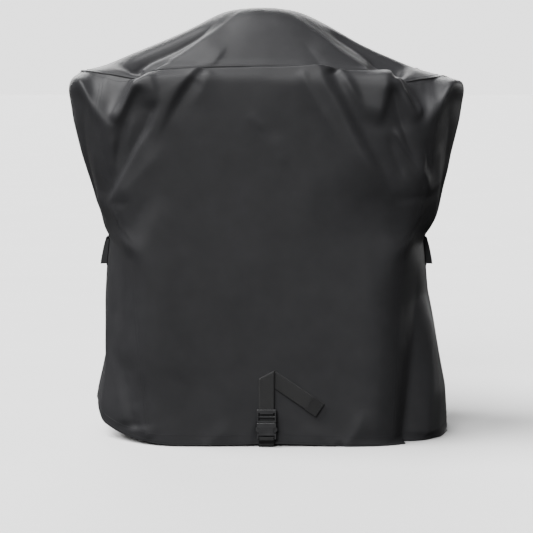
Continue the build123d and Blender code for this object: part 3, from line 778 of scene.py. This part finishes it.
def stitches(name, paths, body, length=3.4, gap=1.5, radius=0.42):
    """Rows of sewn thread: short beads that dip into the cloth at both ends. paths are (points, normals)."""
    points, faces, uvs = [], [], []
    ring = [(math.cos(a), math.sin(a)) for a in np.arange(5) / 5 * 2 * math.pi]
    # share of its length, share of its radius, and height over the cloth, in radii
    profile = ((0.0, 0.25, -0.5), (0.22, 1.0, 0.25), (0.78, 1.0, 0.25), (1.0, 0.25, -0.5))
    for path, normal in paths:
        path, normal = np.asarray(path, float), np.asarray(normal, float)
        run = distance_along(path)
        count = int(run[-1] // (length + gap))
        for k in range(count):
            s = (k + 0.5 * gap / (length + gap)) * (length + gap)
            a = np.array([np.interp(s, run, path[:, i]) for i in range(3)])
            b = np.array([np.interp(s + length, run, path[:, i]) for i in range(3)])
            n = np.array([np.interp(s, run, normal[:, i]) for i in range(3)])
            n /= np.linalg.norm(n)
            ahead = (b - a) / max(np.linalg.norm(b - a), 1e-9)
            side = np.cross(ahead, n)
            first = len(points)
            for share, size, lift in profile:
                centre = a + (b - a) * share + n * lift * radius * 1.6
                for cx, cy in ring:
                    points.append(centre + radius * size * (cx * side + cy * n))
                    uvs.append((s * MM + share * length * MM, cx * radius * MM))
            faces += rod_faces(first, len(profile), len(ring))
    return make_piece(name, points, faces, uvs, thread, body)


# ---------------------------------------------------------------- shell panels

TRIM_MARGIN = 9.0
trim_low, trim_high = box_mm("right_vent_trim")
VENT_HALF = (trim_high[1] - trim_low[1]) / 2 - TRIM_MARGIN
VENT_LOW, VENT_HIGH = trim_low[2] + TRIM_MARGIN, trim_high[2] - TRIM_MARGIN


def nearest(values, wanted):
    return int(np.argmin(np.abs(values - wanted)))


def open_vent(p):
    """Cells inside the vent's window, after the grid's lines beside it are moved onto its edges."""
    rows, columns = p.shape[:2]
    level = p[:, columns // 2, 2]
    depth = p[nearest(level, (VENT_LOW + VENT_HIGH) / 2), :, 1] - MIDDLE_Y
    first, last = sorted((nearest(depth, -VENT_HALF), nearest(depth, VENT_HALF)))
    bottom, top = nearest(level, VENT_LOW), nearest(level, VENT_HIGH)
    for c in (first, last):
        p[bottom : top + 1, c, 1] = MIDDLE_Y + np.sign(depth[c]) * VENT_HALF
    drop = np.zeros((rows - 1, columns - 1), bool)
    drop[bottom:top, first:last] = True
    return drop


walls = {"front": FRONT, "right_side": RIGHT, "back": BACK, "left_side": LEFT}
for panel_name, columns in walls.items():
    p, n = shell[:, columns].copy(), shell_normal[:, columns]
    drop = open_vent(p) if panel_name.endswith("side") else None
    piece = slab(
        f"{panel_name}_cloth", p, n, CLOTH, grid_uv(p), shell_cloth, "cover", drop=drop
    )
    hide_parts(f"{panel_name}_panel")
    width = float(np.linalg.norm(np.diff(p, axis=1), axis=2).sum(1).max()) * MM

top = slab(
    "top_cloth", dome, dome_normal, CLOTH, grid_uv(dome), shell_cloth, "cover",
    closed=True, weld_last=True,
)  # fmt: skip
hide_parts("top_panel")

# Welt: a covered piping round the seam, and the seam allowance turned in behind it.
welt_out = shell_normal[-3].copy()
welt_out[:, 2] = 0
welt_out /= np.linalg.norm(welt_out, axis=1, keepdims=True)
PIPING_OUT, PIPING_RADIUS = 0.6, 1.5
# The piping's darker tape cloth is painted shade, standing in for the shadow along the seam between dome and
# wall.
piping = closed_tube(
    "welt_piping", shell[-1] + welt_out * PIPING_OUT, PIPING_RADIUS, tape_cloth, "cover"
)
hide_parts("top_welt")
inward = np.stack([shell[-1] - welt_out * d + (0, 0, -0.6 - 0.25 * d) for d in (1.4, 4.0, 7.0, 9.5)])
slab(
    "welt_allowance", inward, np.tile(np.array([0, 0, 1.0]), inward.shape[:2] + (1,)), 1.0,
    grid_uv(inward), tape_cloth, "cover", closed=True,
)  # fmt: skip


# ---------------------------------------------------------------- tapes and patches inside


def inner_strip(name, p, n, gap, thick, node, material=tape_cloth, closed=False):
    """A layer that lies inside the cloth, a gap behind its inner face."""
    piece = slab(
        name, p - n * (CLOTH + gap), n, thick, grid_uv(p), material, "cover", closed=closed
    )
    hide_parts(node)
    return piece


def wall_line(columns, z):
    """A line round the wall at given heights above the floor, with its normals."""
    p, n = [], []
    for c, level in zip(columns, z):
        order = shell[:WALL_ROWS, c, 2]
        p.append([np.interp(level, order, shell[:WALL_ROWS, c, i]) for i in range(3)])
        n.append([np.interp(level, order, shell_normal[:WALL_ROWS, c, i]) for i in range(3)])
    return np.array(p), np.array(n)


HEM_TAPE_LOW, HEM_TAPE_WIDTH = 2.5, 20
hem_levels = [hem_z + HEM_TAPE_LOW + HEM_TAPE_WIDTH * share for share in np.linspace(0, 1, 6)]
hem_grid = np.stack([wall_line(column, level)[0] for level in hem_levels])
inner_strip("hem_tape", hem_grid, normals_of(hem_grid), 0.15, 0.9, "hem_binding", closed=True)

for corner_name, corner in zip(("front_left", "front_right", "back_right", "back_left"), CORNERS):
    columns = (corner + np.arange(-2, 3)) % COLUMNS
    rows = slice(6, WALL_ROWS - 4)
    strip, strip_n = shell[rows, columns], shell_normal[rows, columns]
    inner_strip(f"{corner_name}_tape", strip, strip_n, 0.2, 0.8, f"{corner_name}_seam_tape")


def sample_wall(p, x, z, facing):
    """Points of the front or back wall at given x and z, and their normals, on a grid of x and z."""
    columns = FRONT if facing < 0 else BACK
    grid, normal = p[:WALL_ROWS, columns], shell_normal[:WALL_ROWS, columns]
    points, directions = np.zeros(x.shape + (3,)), np.zeros(x.shape + (3,))
    for index in np.ndindex(x.shape):
        r = nearest(grid[:, len(columns) // 2, 2], z[index])
        row_x = grid[r, :, 0] if facing < 0 else grid[r, ::-1, 0]
        row_y = grid[r, :, 1] if facing < 0 else grid[r, ::-1, 1]
        row_n = normal[r] if facing < 0 else normal[r, ::-1]
        points[index] = (x[index], np.interp(x[index], row_x, row_y), z[index])
        directions[index] = [np.interp(x[index], row_x, row_n[:, i]) for i in range(3)]
    return points, directions / np.linalg.norm(directions, axis=-1, keepdims=True)


for facing, node in ((-1, "front_strap_patch"), (1, "back_strap_patch")):
    low, high = box_mm(node)
    xs = np.linspace(low[0], high[0], 10) if facing < 0 else np.linspace(high[0], low[0], 10)
    gx, gz = np.meshgrid(xs, np.linspace(low[2], high[2], 9))
    p, n = sample_wall(shell, gx, gz, facing)
    inner_strip(f"{node}_cloth", p, n, 0.2, 0.8, node, shell_cloth)


# ---------------------------------------------------------------- topstitching


ring_columns = np.concatenate([np.arange(COLUMNS), [0]])
hem_lines = [wall_line(ring_columns, hem_z[ring_columns] + up) for up in (5.5, 19.0)]
below_welt = (shell[-3][ring_columns], shell_normal[-3][ring_columns])
above_welt = (dome[2][ring_columns], dome_normal[2][ring_columns])
corner_lines = []
for corner in CORNERS:
    for offset in (-1, 1):
        c = (corner + offset) % COLUMNS
        corner_lines.append((shell[2 : len(shell) - 4, c], shell_normal[2 : len(shell) - 4, c]))
stitches("hem_stitching", hem_lines, "cover")
stitches("welt_stitching", [below_welt, above_welt], "cover")
stitches("seam_stitching", corner_lines, "cover")


# ---------------------------------------------------------------- air vents

TRIM_OUT, TRIM_THICK = 1.0, 0.9
HOOD_THICK = 1.3
MESH_PITCH, MESH_RADIUS = 2.4, 0.28
GUSSET_GAP = 0.4
joint_places = {j["name"]: j.get("pos_m") for j in frame["record"]["behaviour"]["joints"]}
RIGHT_HINGE = np.array(joint_places["right_vent_open"]) / MM


def side_wall_x(y, z):
    """How far out the right side panel's outer face is at a depth from the middle and a height."""
    bulge = table(RIGHT_REACH, z) - table(RIGHT_CORNER, z)
    radius = (HALF_DEPTH**2 + bulge**2) / (2 * bulge)
    return table(RIGHT_REACH, z) - radius + np.sqrt(radius**2 - y**2)


def for_side(p, side):
    """A grid made for the right side, mirrored if it is wanted on the left."""
    return p if side == "right" else p[:, ::-1] * (-1, 1, 1)


def grid_normals(p):
    """Outward normals of an open grid."""
    n = np.cross(np.gradient(p, axis=1), np.gradient(p, axis=0))
    return n / np.maximum(np.linalg.norm(n, axis=2, keepdims=True), 1e-9)


def rectangle_lines(p, n, rows, columns):
    """The closed line along two rows and two columns of a grid, with its normals."""
    (a, b), (c, d) = rows, columns
    places = [(a, k) for k in range(c, d)] + [(k, d) for k in range(a, b)]
    places += [(b, k) for k in range(d, c, -1)] + [(k, c) for k in range(b, a, -1)] + [(a, c)]
    index = tuple(np.array(places).T)
    return p[index], n[index]


def vent_trim(side):
    """The sewn frame round the window, with two rows of stitches."""
    margins = np.array([TRIM_MARGIN, 8.2, 6.0, 3.5, 1.8, 0.9])

    def lines_across(low, high, count):
        return np.concatenate([low - margins, np.linspace(low, high, count), high + margins[::-1]])

    depths, heights = lines_across(-VENT_HALF, VENT_HALF, 17), lines_across(VENT_LOW, VENT_HIGH, 7)
    y, z = np.meshgrid(depths, heights)
    p = np.stack([side_wall_x(y, z) + TRIM_OUT, y + MIDDLE_Y, z], 2)
    inside_y = np.abs((depths[1:] + depths[:-1]) / 2) < VENT_HALF
    middles = (heights[1:] + heights[:-1]) / 2
    window = ((middles > VENT_LOW) & (middles < VENT_HIGH))[:, None] & inside_y[None, :]
    p = for_side(p, side)
    n = grid_normals(p)
    frame_piece = slab(
        f"{side}_vent_frame", p, n, TRIM_THICK, grid_uv(p), tape_cloth, "cover", drop=window
    )
    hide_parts(f"{side}_vent_trim")
    last_row, last_column = len(heights) - 1, len(depths) - 1
    lines = [rectangle_lines(p, n, (k, last_row - k), (k, last_column - k)) for k in (1, 4)]
    stitches(f"{side}_vent_frame_stitching", lines, "cover")


def vent_mesh(side):
    """The insect screen: threads woven over and under each other."""
    low, high = box_mm("right_vent_screen")
    inset = table(RIGHT_REACH, low[2]) - high[0] + 2 * MESH_RADIUS
    half = (high[1] - low[1]) / 2 - MESH_RADIUS
    across = np.arange(-half, half + 0.01, MESH_PITCH)
    up = np.arange(low[2] + MESH_RADIUS, high[2], MESH_PITCH)
    sign = 1 if side == "right" else -1
    points, faces, uvs = [], [], []
    corners = [(math.cos(a), math.sin(a)) for a in np.arange(4) / 4 * 2 * math.pi]

    def thread_along(path, wide):
        faces.extend(rod_faces(len(points), len(path), len(corners)))
        for i, spot in enumerate(path):
            for c, d in corners:
                points.append(spot + MESH_RADIUS * (c * np.array([sign, 0, 0]) + d * wide))
                uvs.append((i * MESH_PITCH * MM, d * MESH_RADIUS * MM))

    for i, z in enumerate(up):
        over = MESH_RADIUS * (-1.0) ** (np.arange(len(across)) + i)
        x = side_wall_x(across, z) - inset + over
        path = np.stack([sign * x, across + MIDDLE_Y, np.full(len(across), z)], 1)
        thread_along(path, np.array([0, 0, 1.0]))
    for j, y in enumerate(across):
        beneath = -MESH_RADIUS * (-1.0) ** (np.arange(len(up)) + j)
        x = side_wall_x(y, up) - inset + beneath
        path = np.stack([sign * x, np.full(len(up), y + MIDDLE_Y), up], 1)
        thread_along(path, np.array([0, 1.0, 0]))
    piece = make_piece(f"{side}_vent_mesh", points, faces, uvs, screen_thread, "cover")
    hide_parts(f"{side}_vent_screen")


def vent_hood(side):
    """The hood: a cloth face rolled over its hinge line, two gussets and a turned hem, sewn together."""
    body = f"{side}_vent_hood"
    low, high = box_mm("right_vent_hood")
    hinge_x, _, hinge_z = RIGHT_HINGE
    half = (high[1] - low[1]) / 2
    lip = np.array([high[0], low[2] + 0.4])
    roll = high[2] - hinge_z
    turn = np.radians(np.linspace(10, 190, 9))
    over = np.stack([hinge_x + roll * np.cos(turn), hinge_z + roll * np.sin(turn)], 1)
    rise = np.linspace(0, 1, 15)[:-1, None]
    bow = 1.1 * np.sin(rise * math.pi)
    hanging = lip + (over[0] - lip) * rise + bow * (1, 0)
    profile = np.concatenate([hanging, over])
    depths = np.linspace(-half, half, 37)
    slack = 0.35 * np.sin(depths / 7.0) + 0.5 * np.cos(depths / half * math.pi / 2)
    p = np.zeros((len(profile), len(depths), 3))
    p[..., 0] = profile[:, :1] + slack * np.clip((hinge_z - profile[:, 1:]) / 30, 0, 1)
    p[..., 1] = depths + MIDDLE_Y
    p[..., 2] = profile[:, 1:]
    p = for_side(p, side)
    n = grid_normals(p)
    face = slab(f"{side}_vent_hood_cloth", p, n, HOOD_THICK, grid_uv(p), shell_cloth, body)
    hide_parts(f"{side}_vent_hood")

    for end, end_name in ((1, "back"), (-1, "front")):
        z = np.linspace(lip[1] + 0.3, hinge_z - roll, 12)
        inner = side_wall_x(half, z) + TRIM_OUT + GUSSET_GAP
        outer = np.interp(z, hanging[:, 1], hanging[:, 0]) - HOOD_THICK - 0.1
        outer = np.maximum(outer, inner + 0.8)
        share = np.linspace(1, 0, 7) if end > 0 else np.linspace(0, 1, 7)
        q = np.zeros((len(z), 7, 3))
        q[..., 0] = inner[:, None] + (outer - inner)[:, None] * share[None, :]
        q[..., 1] = MIDDLE_Y + end * (half - 0.3)
        q[..., 2] = z[:, None]
        q = for_side(q, side)
        name = f"{side}_vent_hood_{end_name}_gusset"
        q_n = grid_normals(q)
        slab(name, q, q_n, HOOD_THICK, grid_uv(q), shell_cloth, body)
    band, band_n = p[:4, 1:-1], n[:4, 1:-1]
    band = band - band_n * (HOOD_THICK + 0.1)
    hem = slab(f"{side}_vent_hood_hem", band, band_n, 1.0, grid_uv(band), shell_cloth, body)
    lines = [(p[2], n[2]), (p[12], n[12]), (p[1:13, 1], n[1:13, 1]), (p[1:13, -2], n[1:13, -2])]
    sewing = stitches(f"{side}_vent_hood_stitching", lines, body)


for side in ("left", "right"):
    vent_trim(side)
    vent_mesh(side)
    vent_hood(side)

# ---------------------------------------------------------------- webbing


def rounded_path(points, radius, spacing=1.2):
    """Points of a polyline in a plane with its corners rounded, evenly spaced."""
    points = [np.array(p, float) for p in points]
    out = [points[0]]
    for before, corner, after in zip(points, points[1:], points[2:]):
        a, b = before - corner, after - corner
        la, lb = np.linalg.norm(a), np.linalg.norm(b)
        a, b = a / la, b / lb
        half = math.acos(np.clip(a @ b, -1, 1)) / 2
        trimmed = min(radius / math.tan(half), 0.49 * la, 0.49 * lb)
        r = trimmed * math.tan(half)
        centre = corner + (a + b) / np.linalg.norm(a + b) * (r / math.sin(half))
        start, stop = corner + a * trimmed, corner + b * trimmed
        va, vb = start - centre, stop - centre
        turn = math.acos(np.clip((va @ vb) / max(r * r, 1e-9), -1, 1))
        for k in range(7):
            s = k / 6
            if turn < 1e-4:
                out.append(start + (stop - start) * s)
            else:
                out.append(
                    centre
                    + (math.sin((1 - s) * turn) * va + math.sin(s * turn) * vb) / math.sin(turn)
                )
    out.append(points[-1])
    out = np.array(out)
    run = distance_along(out)
    keep = np.concatenate([[True], np.diff(run) > 1e-6])
    out, run = out[keep], run[keep]
    at = np.linspace(0, run[-1], max(8, int(run[-1] / spacing)))
    return np.stack([np.interp(at, run, out[:, i]) for i in range(out.shape[1])], 1)


def strap_section(half, thick, across_cells=12):
    """Closed outline of a strap's section: position across, and offset from its middle, as (w, h) pairs."""
    w = np.linspace(-half, half, across_cells + 1)
    edge = np.clip((half - np.abs(w)) / 0.9, 0, 1)
    h = thick / 2 * (0.35 + 0.65 * np.sqrt(1 - (1 - edge) ** 2))
    return np.concatenate([np.stack([w, h], 1), np.stack([w[::-1], -h[::-1]], 1)])


def sweep_faces(count, k, flip=False):
    """Faces of a strap swept through a number of sections of k points each, with both ends closed."""
    faces = []
    for i in range(count - 1):
        for j in range(k):
            m = (j + 1) % k
            faces.append((i * k + j, i * k + m, (i + 1) * k + m, (i + 1) * k + j))
    last = (count - 1) * k
    for j in range(k // 2 - 1):
        faces.append((k - 1 - j, k - 2 - j, j + 1, j))
        faces.append((last + j, last + j + 1, last + k - 2 - j, last + k - 1 - j))
    return [face[::-1] for face in faces] if flip else faces


def strap(name, centre, normal, sideways, half, thick, body):
    """Webbing along a centre line, with the direction of its face and of its width at each point."""
    section = strap_section(half, thick)
    ring = centre[:, None] + section[None, :, :1] * sideways[:, None] + section[None, :, 1:] * normal[:, None]
    run = distance_along(centre) * MM
    uv = np.stack(np.broadcast_arrays(run[:, None], (section[:, 0] * MM)[None, :]), 2).reshape(-1, 2)
    faces = sweep_faces(len(centre), len(section))
    return make_piece(name, ring.reshape(-1, 3), faces, uv, webbing, body)


def depth_strap(name, points, radius, body):
    """Webbing whose path lies in the plane of depth and height, as (y, z) points."""
    path = rounded_path(points, radius)
    centre = np.stack([np.zeros(len(path)), path[:, 0], path[:, 1]], 1)
    ahead = np.gradient(centre, axis=0)
    ahead /= np.linalg.norm(ahead, axis=1, keepdims=True)
    sideways = np.tile([1.0, 0, 0], (len(path), 1))
    normal = np.cross(sideways, ahead)
    return strap(name, centre, normal, sideways, STRAP_HALF, STRAP_THICK, body)


female_low, female_high = box_mm("buckle_female")
male_low, _ = box_mm("buckle_male")
_, under_high = box_mm("under_strap")
anchor_low, anchor_high = box_mm("anchor_strap")
layer = 0.1 + STRAP_THICK / 2
buckle_mid = (female_low[1] + female_high[1]) / 2
bar_half, bar_top = 1.9, female_low[2] + 3.6
around = bar_half + STRAP_THICK / 2 + 0.2
under = depth_strap(
    "under_strap_webbing",
    (
        (BACK_Y + layer, under_high[2]),
        (BACK_Y + layer, STRAP_THICK / 2),
        (FACE_Y - layer, STRAP_THICK / 2),
        (FACE_Y - layer, female_low[2] - 8),
        (buckle_mid + around, female_low[2] - 1),
        (buckle_mid + around, bar_top + 0.9),
        (buckle_mid - around, bar_top + 0.9),
        (buckle_mid - around, female_low[2] - 1.5),
        (FACE_Y - layer - 1.5, female_low[2] - 9),
        (FACE_Y - layer - 1.5, 2.8),
    ),
    0.9,
    "cover",
)
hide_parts("under_strap")
anchor = depth_strap(
    "anchor_webbing",
    ((FACE_Y - layer, anchor_low[2]), (FACE_Y - layer - 0.05, 76), (FACE_Y - layer, anchor_high[2])),
    6.0,
    "cover",
)
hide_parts("anchor_strap")

# Folded tail: a flat strip, rolled over a fold line and laid back down to the right behind itself.
TAIL_OUT = 0.4 + STRAP_THICK / 2
LADDER_OUT = 2.6
RUN_OUT = LADDER_OUT + 1.0
FOLD_Z, BELOW_FOLD, TAIL_LENGTH, TAIL_ANGLE = 138.0, 20, 126.0, math.radians(34)
fold_slope = (math.pi / 2 - TAIL_ANGLE) / 2
fold_roll = (RUN_OUT - TAIL_OUT) / 2
ladder_start = rounded_path(
    (
        (LADDER_OUT, male_low[2] + 4.9),
        (LADDER_OUT, male_low[2] + 9.5),
        (9.1, male_low[2] + 10.6),
        (9.1, male_low[2] + 17.7),
        (RUN_OUT, male_low[2] + 19.6),
        (RUN_OUT, FOLD_Z - BELOW_FOLD),
    ),
    1.6,
)
flat_run = distance_along(ladder_start)
section = strap_section(STRAP_HALF, STRAP_THICK, 20)
total = flat_run[-1] + BELOW_FOLD + TAIL_LENGTH
stations = np.arange(0, total, 1.3)
along_line = np.array([math.cos(fold_slope), math.sin(fold_slope)])
past_line = np.array([-math.sin(fold_slope), math.cos(fold_slope)])


def tail_point(station, w):
    """A point of the strip's middle surface, as x, distance out from the front and z, and its direction."""
    if station <= flat_run[-1]:
        out = np.interp(station, flat_run, ladder_start[:, 0])
        z = np.interp(station, flat_run, ladder_start[:, 1])
        ahead_out = np.interp(station + 0.5, flat_run, ladder_start[:, 0]) - out
        ahead_z = np.interp(station + 0.5, flat_run, ladder_start[:, 1]) - z
        size = math.hypot(ahead_out, ahead_z) or 1
        return np.array([w, out, z]), np.array([0, ahead_z / size, -ahead_out / size])
    flat = np.array([w, FOLD_Z - BELOW_FOLD + station - flat_run[-1]])
    rel = flat - np.array([0, FOLD_Z])
    along, past = rel @ along_line, rel @ past_line
    if past <= 0:
        return np.array([flat[0], RUN_OUT, flat[1]]), np.array([0, 1.0, 0])
    turn = min(past / fold_roll, math.pi)
    if turn < math.pi:
        spot = np.array([0, FOLD_Z]) + along * along_line + fold_roll * math.sin(turn) * past_line
        out = RUN_OUT - fold_roll * (1 - math.cos(turn))
        face = math.sin(turn) * past_line
        return np.array([spot[0], out, spot[1]]), np.array([face[0], math.cos(turn), face[1]])
    rest = past - math.pi * fold_roll
    spot = np.array([0, FOLD_Z]) + along * along_line - rest * past_line
    free = max(station - flat_run[-1] - 34, 0)
    lift = 3.2 * math.sin(min(free / 60, 1.4)) ** 2 + 0.02 * w * math.sin(free / 30)
    return np.array([spot[0], TAIL_OUT + max(lift, 0), spot[1]]), np.array([0, -1.0, 0])


points, uvs = [], []
for station in stations:
    for w, h in section:
        spot, face = tail_point(station, w)
        spot = spot + face * h
        points.append((spot[0], FACE_Y - spot[1], spot[2]))
        uvs.append((station * MM, w * MM))
faces = sweep_faces(len(stations), len(section), flip=True)
tail = make_piece("strap_tail_webbing", points, faces, uvs, webbing, "buckle_male")
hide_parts("strap_tail")

# The tail's end is turned over once and sewn down.
turn_stations = stations[stations > stations[-1] - 26]
turned = []
for station in turn_stations[::-1]:
    row = []
    for w in np.linspace(-STRAP_HALF, STRAP_HALF, 14):
        spot, face = tail_point(station, w)
        spot = spot - face * (STRAP_THICK / 2 + 0.15)
        row.append((spot[0], FACE_Y - spot[1], spot[2]))
    turned.append(row)
turned = np.array(turned)
if np.cross(turned[0, 1] - turned[0, 0], turned[1, 0] - turned[0, 0])[1] > 0:
    turned = turned[:, ::-1]
slab(
    "strap_tail_turned_end", turned + np.array([0, -1.3, 0]),
    np.tile([0, -1.0, 0], turned.shape[:2] + (1,)), 1.2, grid_uv(turned), webbing, "buckle_male",
)  # fmt: skip



def box_and_cross(low_z, high_z, y, facing):
    """A sewn box with a cross in it, on a strap that lies against the front or the back."""
    half = STRAP_HALF - 2.6
    corners = [(-half, low_z), (half, low_z), (half, high_z), (-half, high_z)]
    pairs = [(0, 1), (1, 2), (2, 3), (3, 0), (0, 2), (1, 3)]
    lines = []
    for a, b in pairs:
        ends = np.array([(corners[k][0], y, corners[k][1]) for k in (a, b)], float)
        lines.append((ends, np.array([(0, facing, 0)] * 2, float)))
    return lines


strap_face = layer + STRAP_THICK / 2
sewn = box_and_cross(under_high[2] - 29, under_high[2] - 3, BACK_Y + strap_face, 1)
sewn += box_and_cross(anchor_high[2] - 24, anchor_high[2] - 2.5, FACE_Y - strap_face, -1)
stitches("strap_stitching", sewn, "cover")
tail_lines = []
for back_from_end in (3.0, 6.0, 22.0):
    row = turned[int(np.argmin(np.abs(turn_stations[::-1] - (stations[-1] - back_from_end))))]
    tail_lines.append((row[1:-1] + np.array([0, -1.3, 0]), np.tile([0, -1.0, 0], (len(row) - 2, 1))))
stitches("tail_stitching", tail_lines, "buckle_male")

for node_names, finish in (
    (("buckle_female", "buckle_male", "left_prong", "right_prong"), plastic),
    (("left_vent_stay", "right_vent_stay"), stay_stuff),
):
    for node_name in node_names:
        materials = bpy.data.objects[node_name].data.materials
        materials.clear()
        materials.append(finish)

# ---------------------------------------------------------------- stage, light and camera

floor_mesh = bpy.data.meshes.new("floor")
floor_mesh.from_pydata([(-40, -40, 0), (40, -40, 0), (40, 40, 0), (-40, 40, 0)], [], [(0, 1, 2, 3)])
floor = bpy.data.objects.new("floor", floor_mesh)
bpy.context.scene.collection.objects.link(floor)
floor_material, tree, shader = node_setup("floor_paper")
floor_grain = noise(tree, coordinates(tree, "Object"), 3, 2, 0.5)
link(tree, ramp(tree, floor_grain, (0.74, 0.74, 0.74), (0.76, 0.76, 0.76)), shader.inputs["Base Color"])
shader.inputs["Roughness"].default_value = 0.9
floor_mesh.materials.append(floor_material)

world = bpy.data.worlds.new("studio")
bpy.context.scene.world = world
world.use_nodes = True
world.node_tree.nodes["Background"].inputs["Color"].default_value = (1, 1, 1, 1)
world.node_tree.nodes["Background"].inputs["Strength"].default_value = 2.4
# The white surroundings are there to be seen; the soft lights alone light the cloth.
floor.visible_diffuse = False
floor.visible_glossy = False
world.cycles_visibility.diffuse = False
world.cycles_visibility.glossy = False


def soft_light(name, direction, strength, spread):
    """Soft light from a direction; spread is how wide it is, in degrees."""
    data = bpy.data.lights.new(name, "SUN")
    data.energy, data.angle = strength, math.radians(spread)
    lamp = bpy.data.objects.new(name, data)
    lamp.location = Vector(direction) * 3
    lamp.rotation_euler = Vector(direction).to_track_quat("Z", "Y").to_euler()
    bpy.context.scene.collection.objects.link(lamp)


soft_light("overhead", (-0.6, -0.12, 1.0), 8.6, 45)
soft_light("left_key", (-0.28, -0.84, 0.5), 3.1, 25)
soft_light("fill", (0.3, -0.7, 0.3), 1.0, 170)
soft_light("back_light", (-0.1, 1.0, 0.3), 3.0, 40)
soft_light("side_light", (0.7, 0.75, 0.1), 0.5, 20)

camera_data = bpy.data.cameras.new("camera")
camera_data.sensor_width = 36
camera_data.lens = 136
camera = bpy.data.objects.new("camera", camera_data)
camera.location = (0, -4.0, 0.733)
camera.rotation_euler = (math.radians(90 - 5.84), 0, 0)
bpy.context.scene.collection.objects.link(camera)
bpy.context.scene.camera = camera
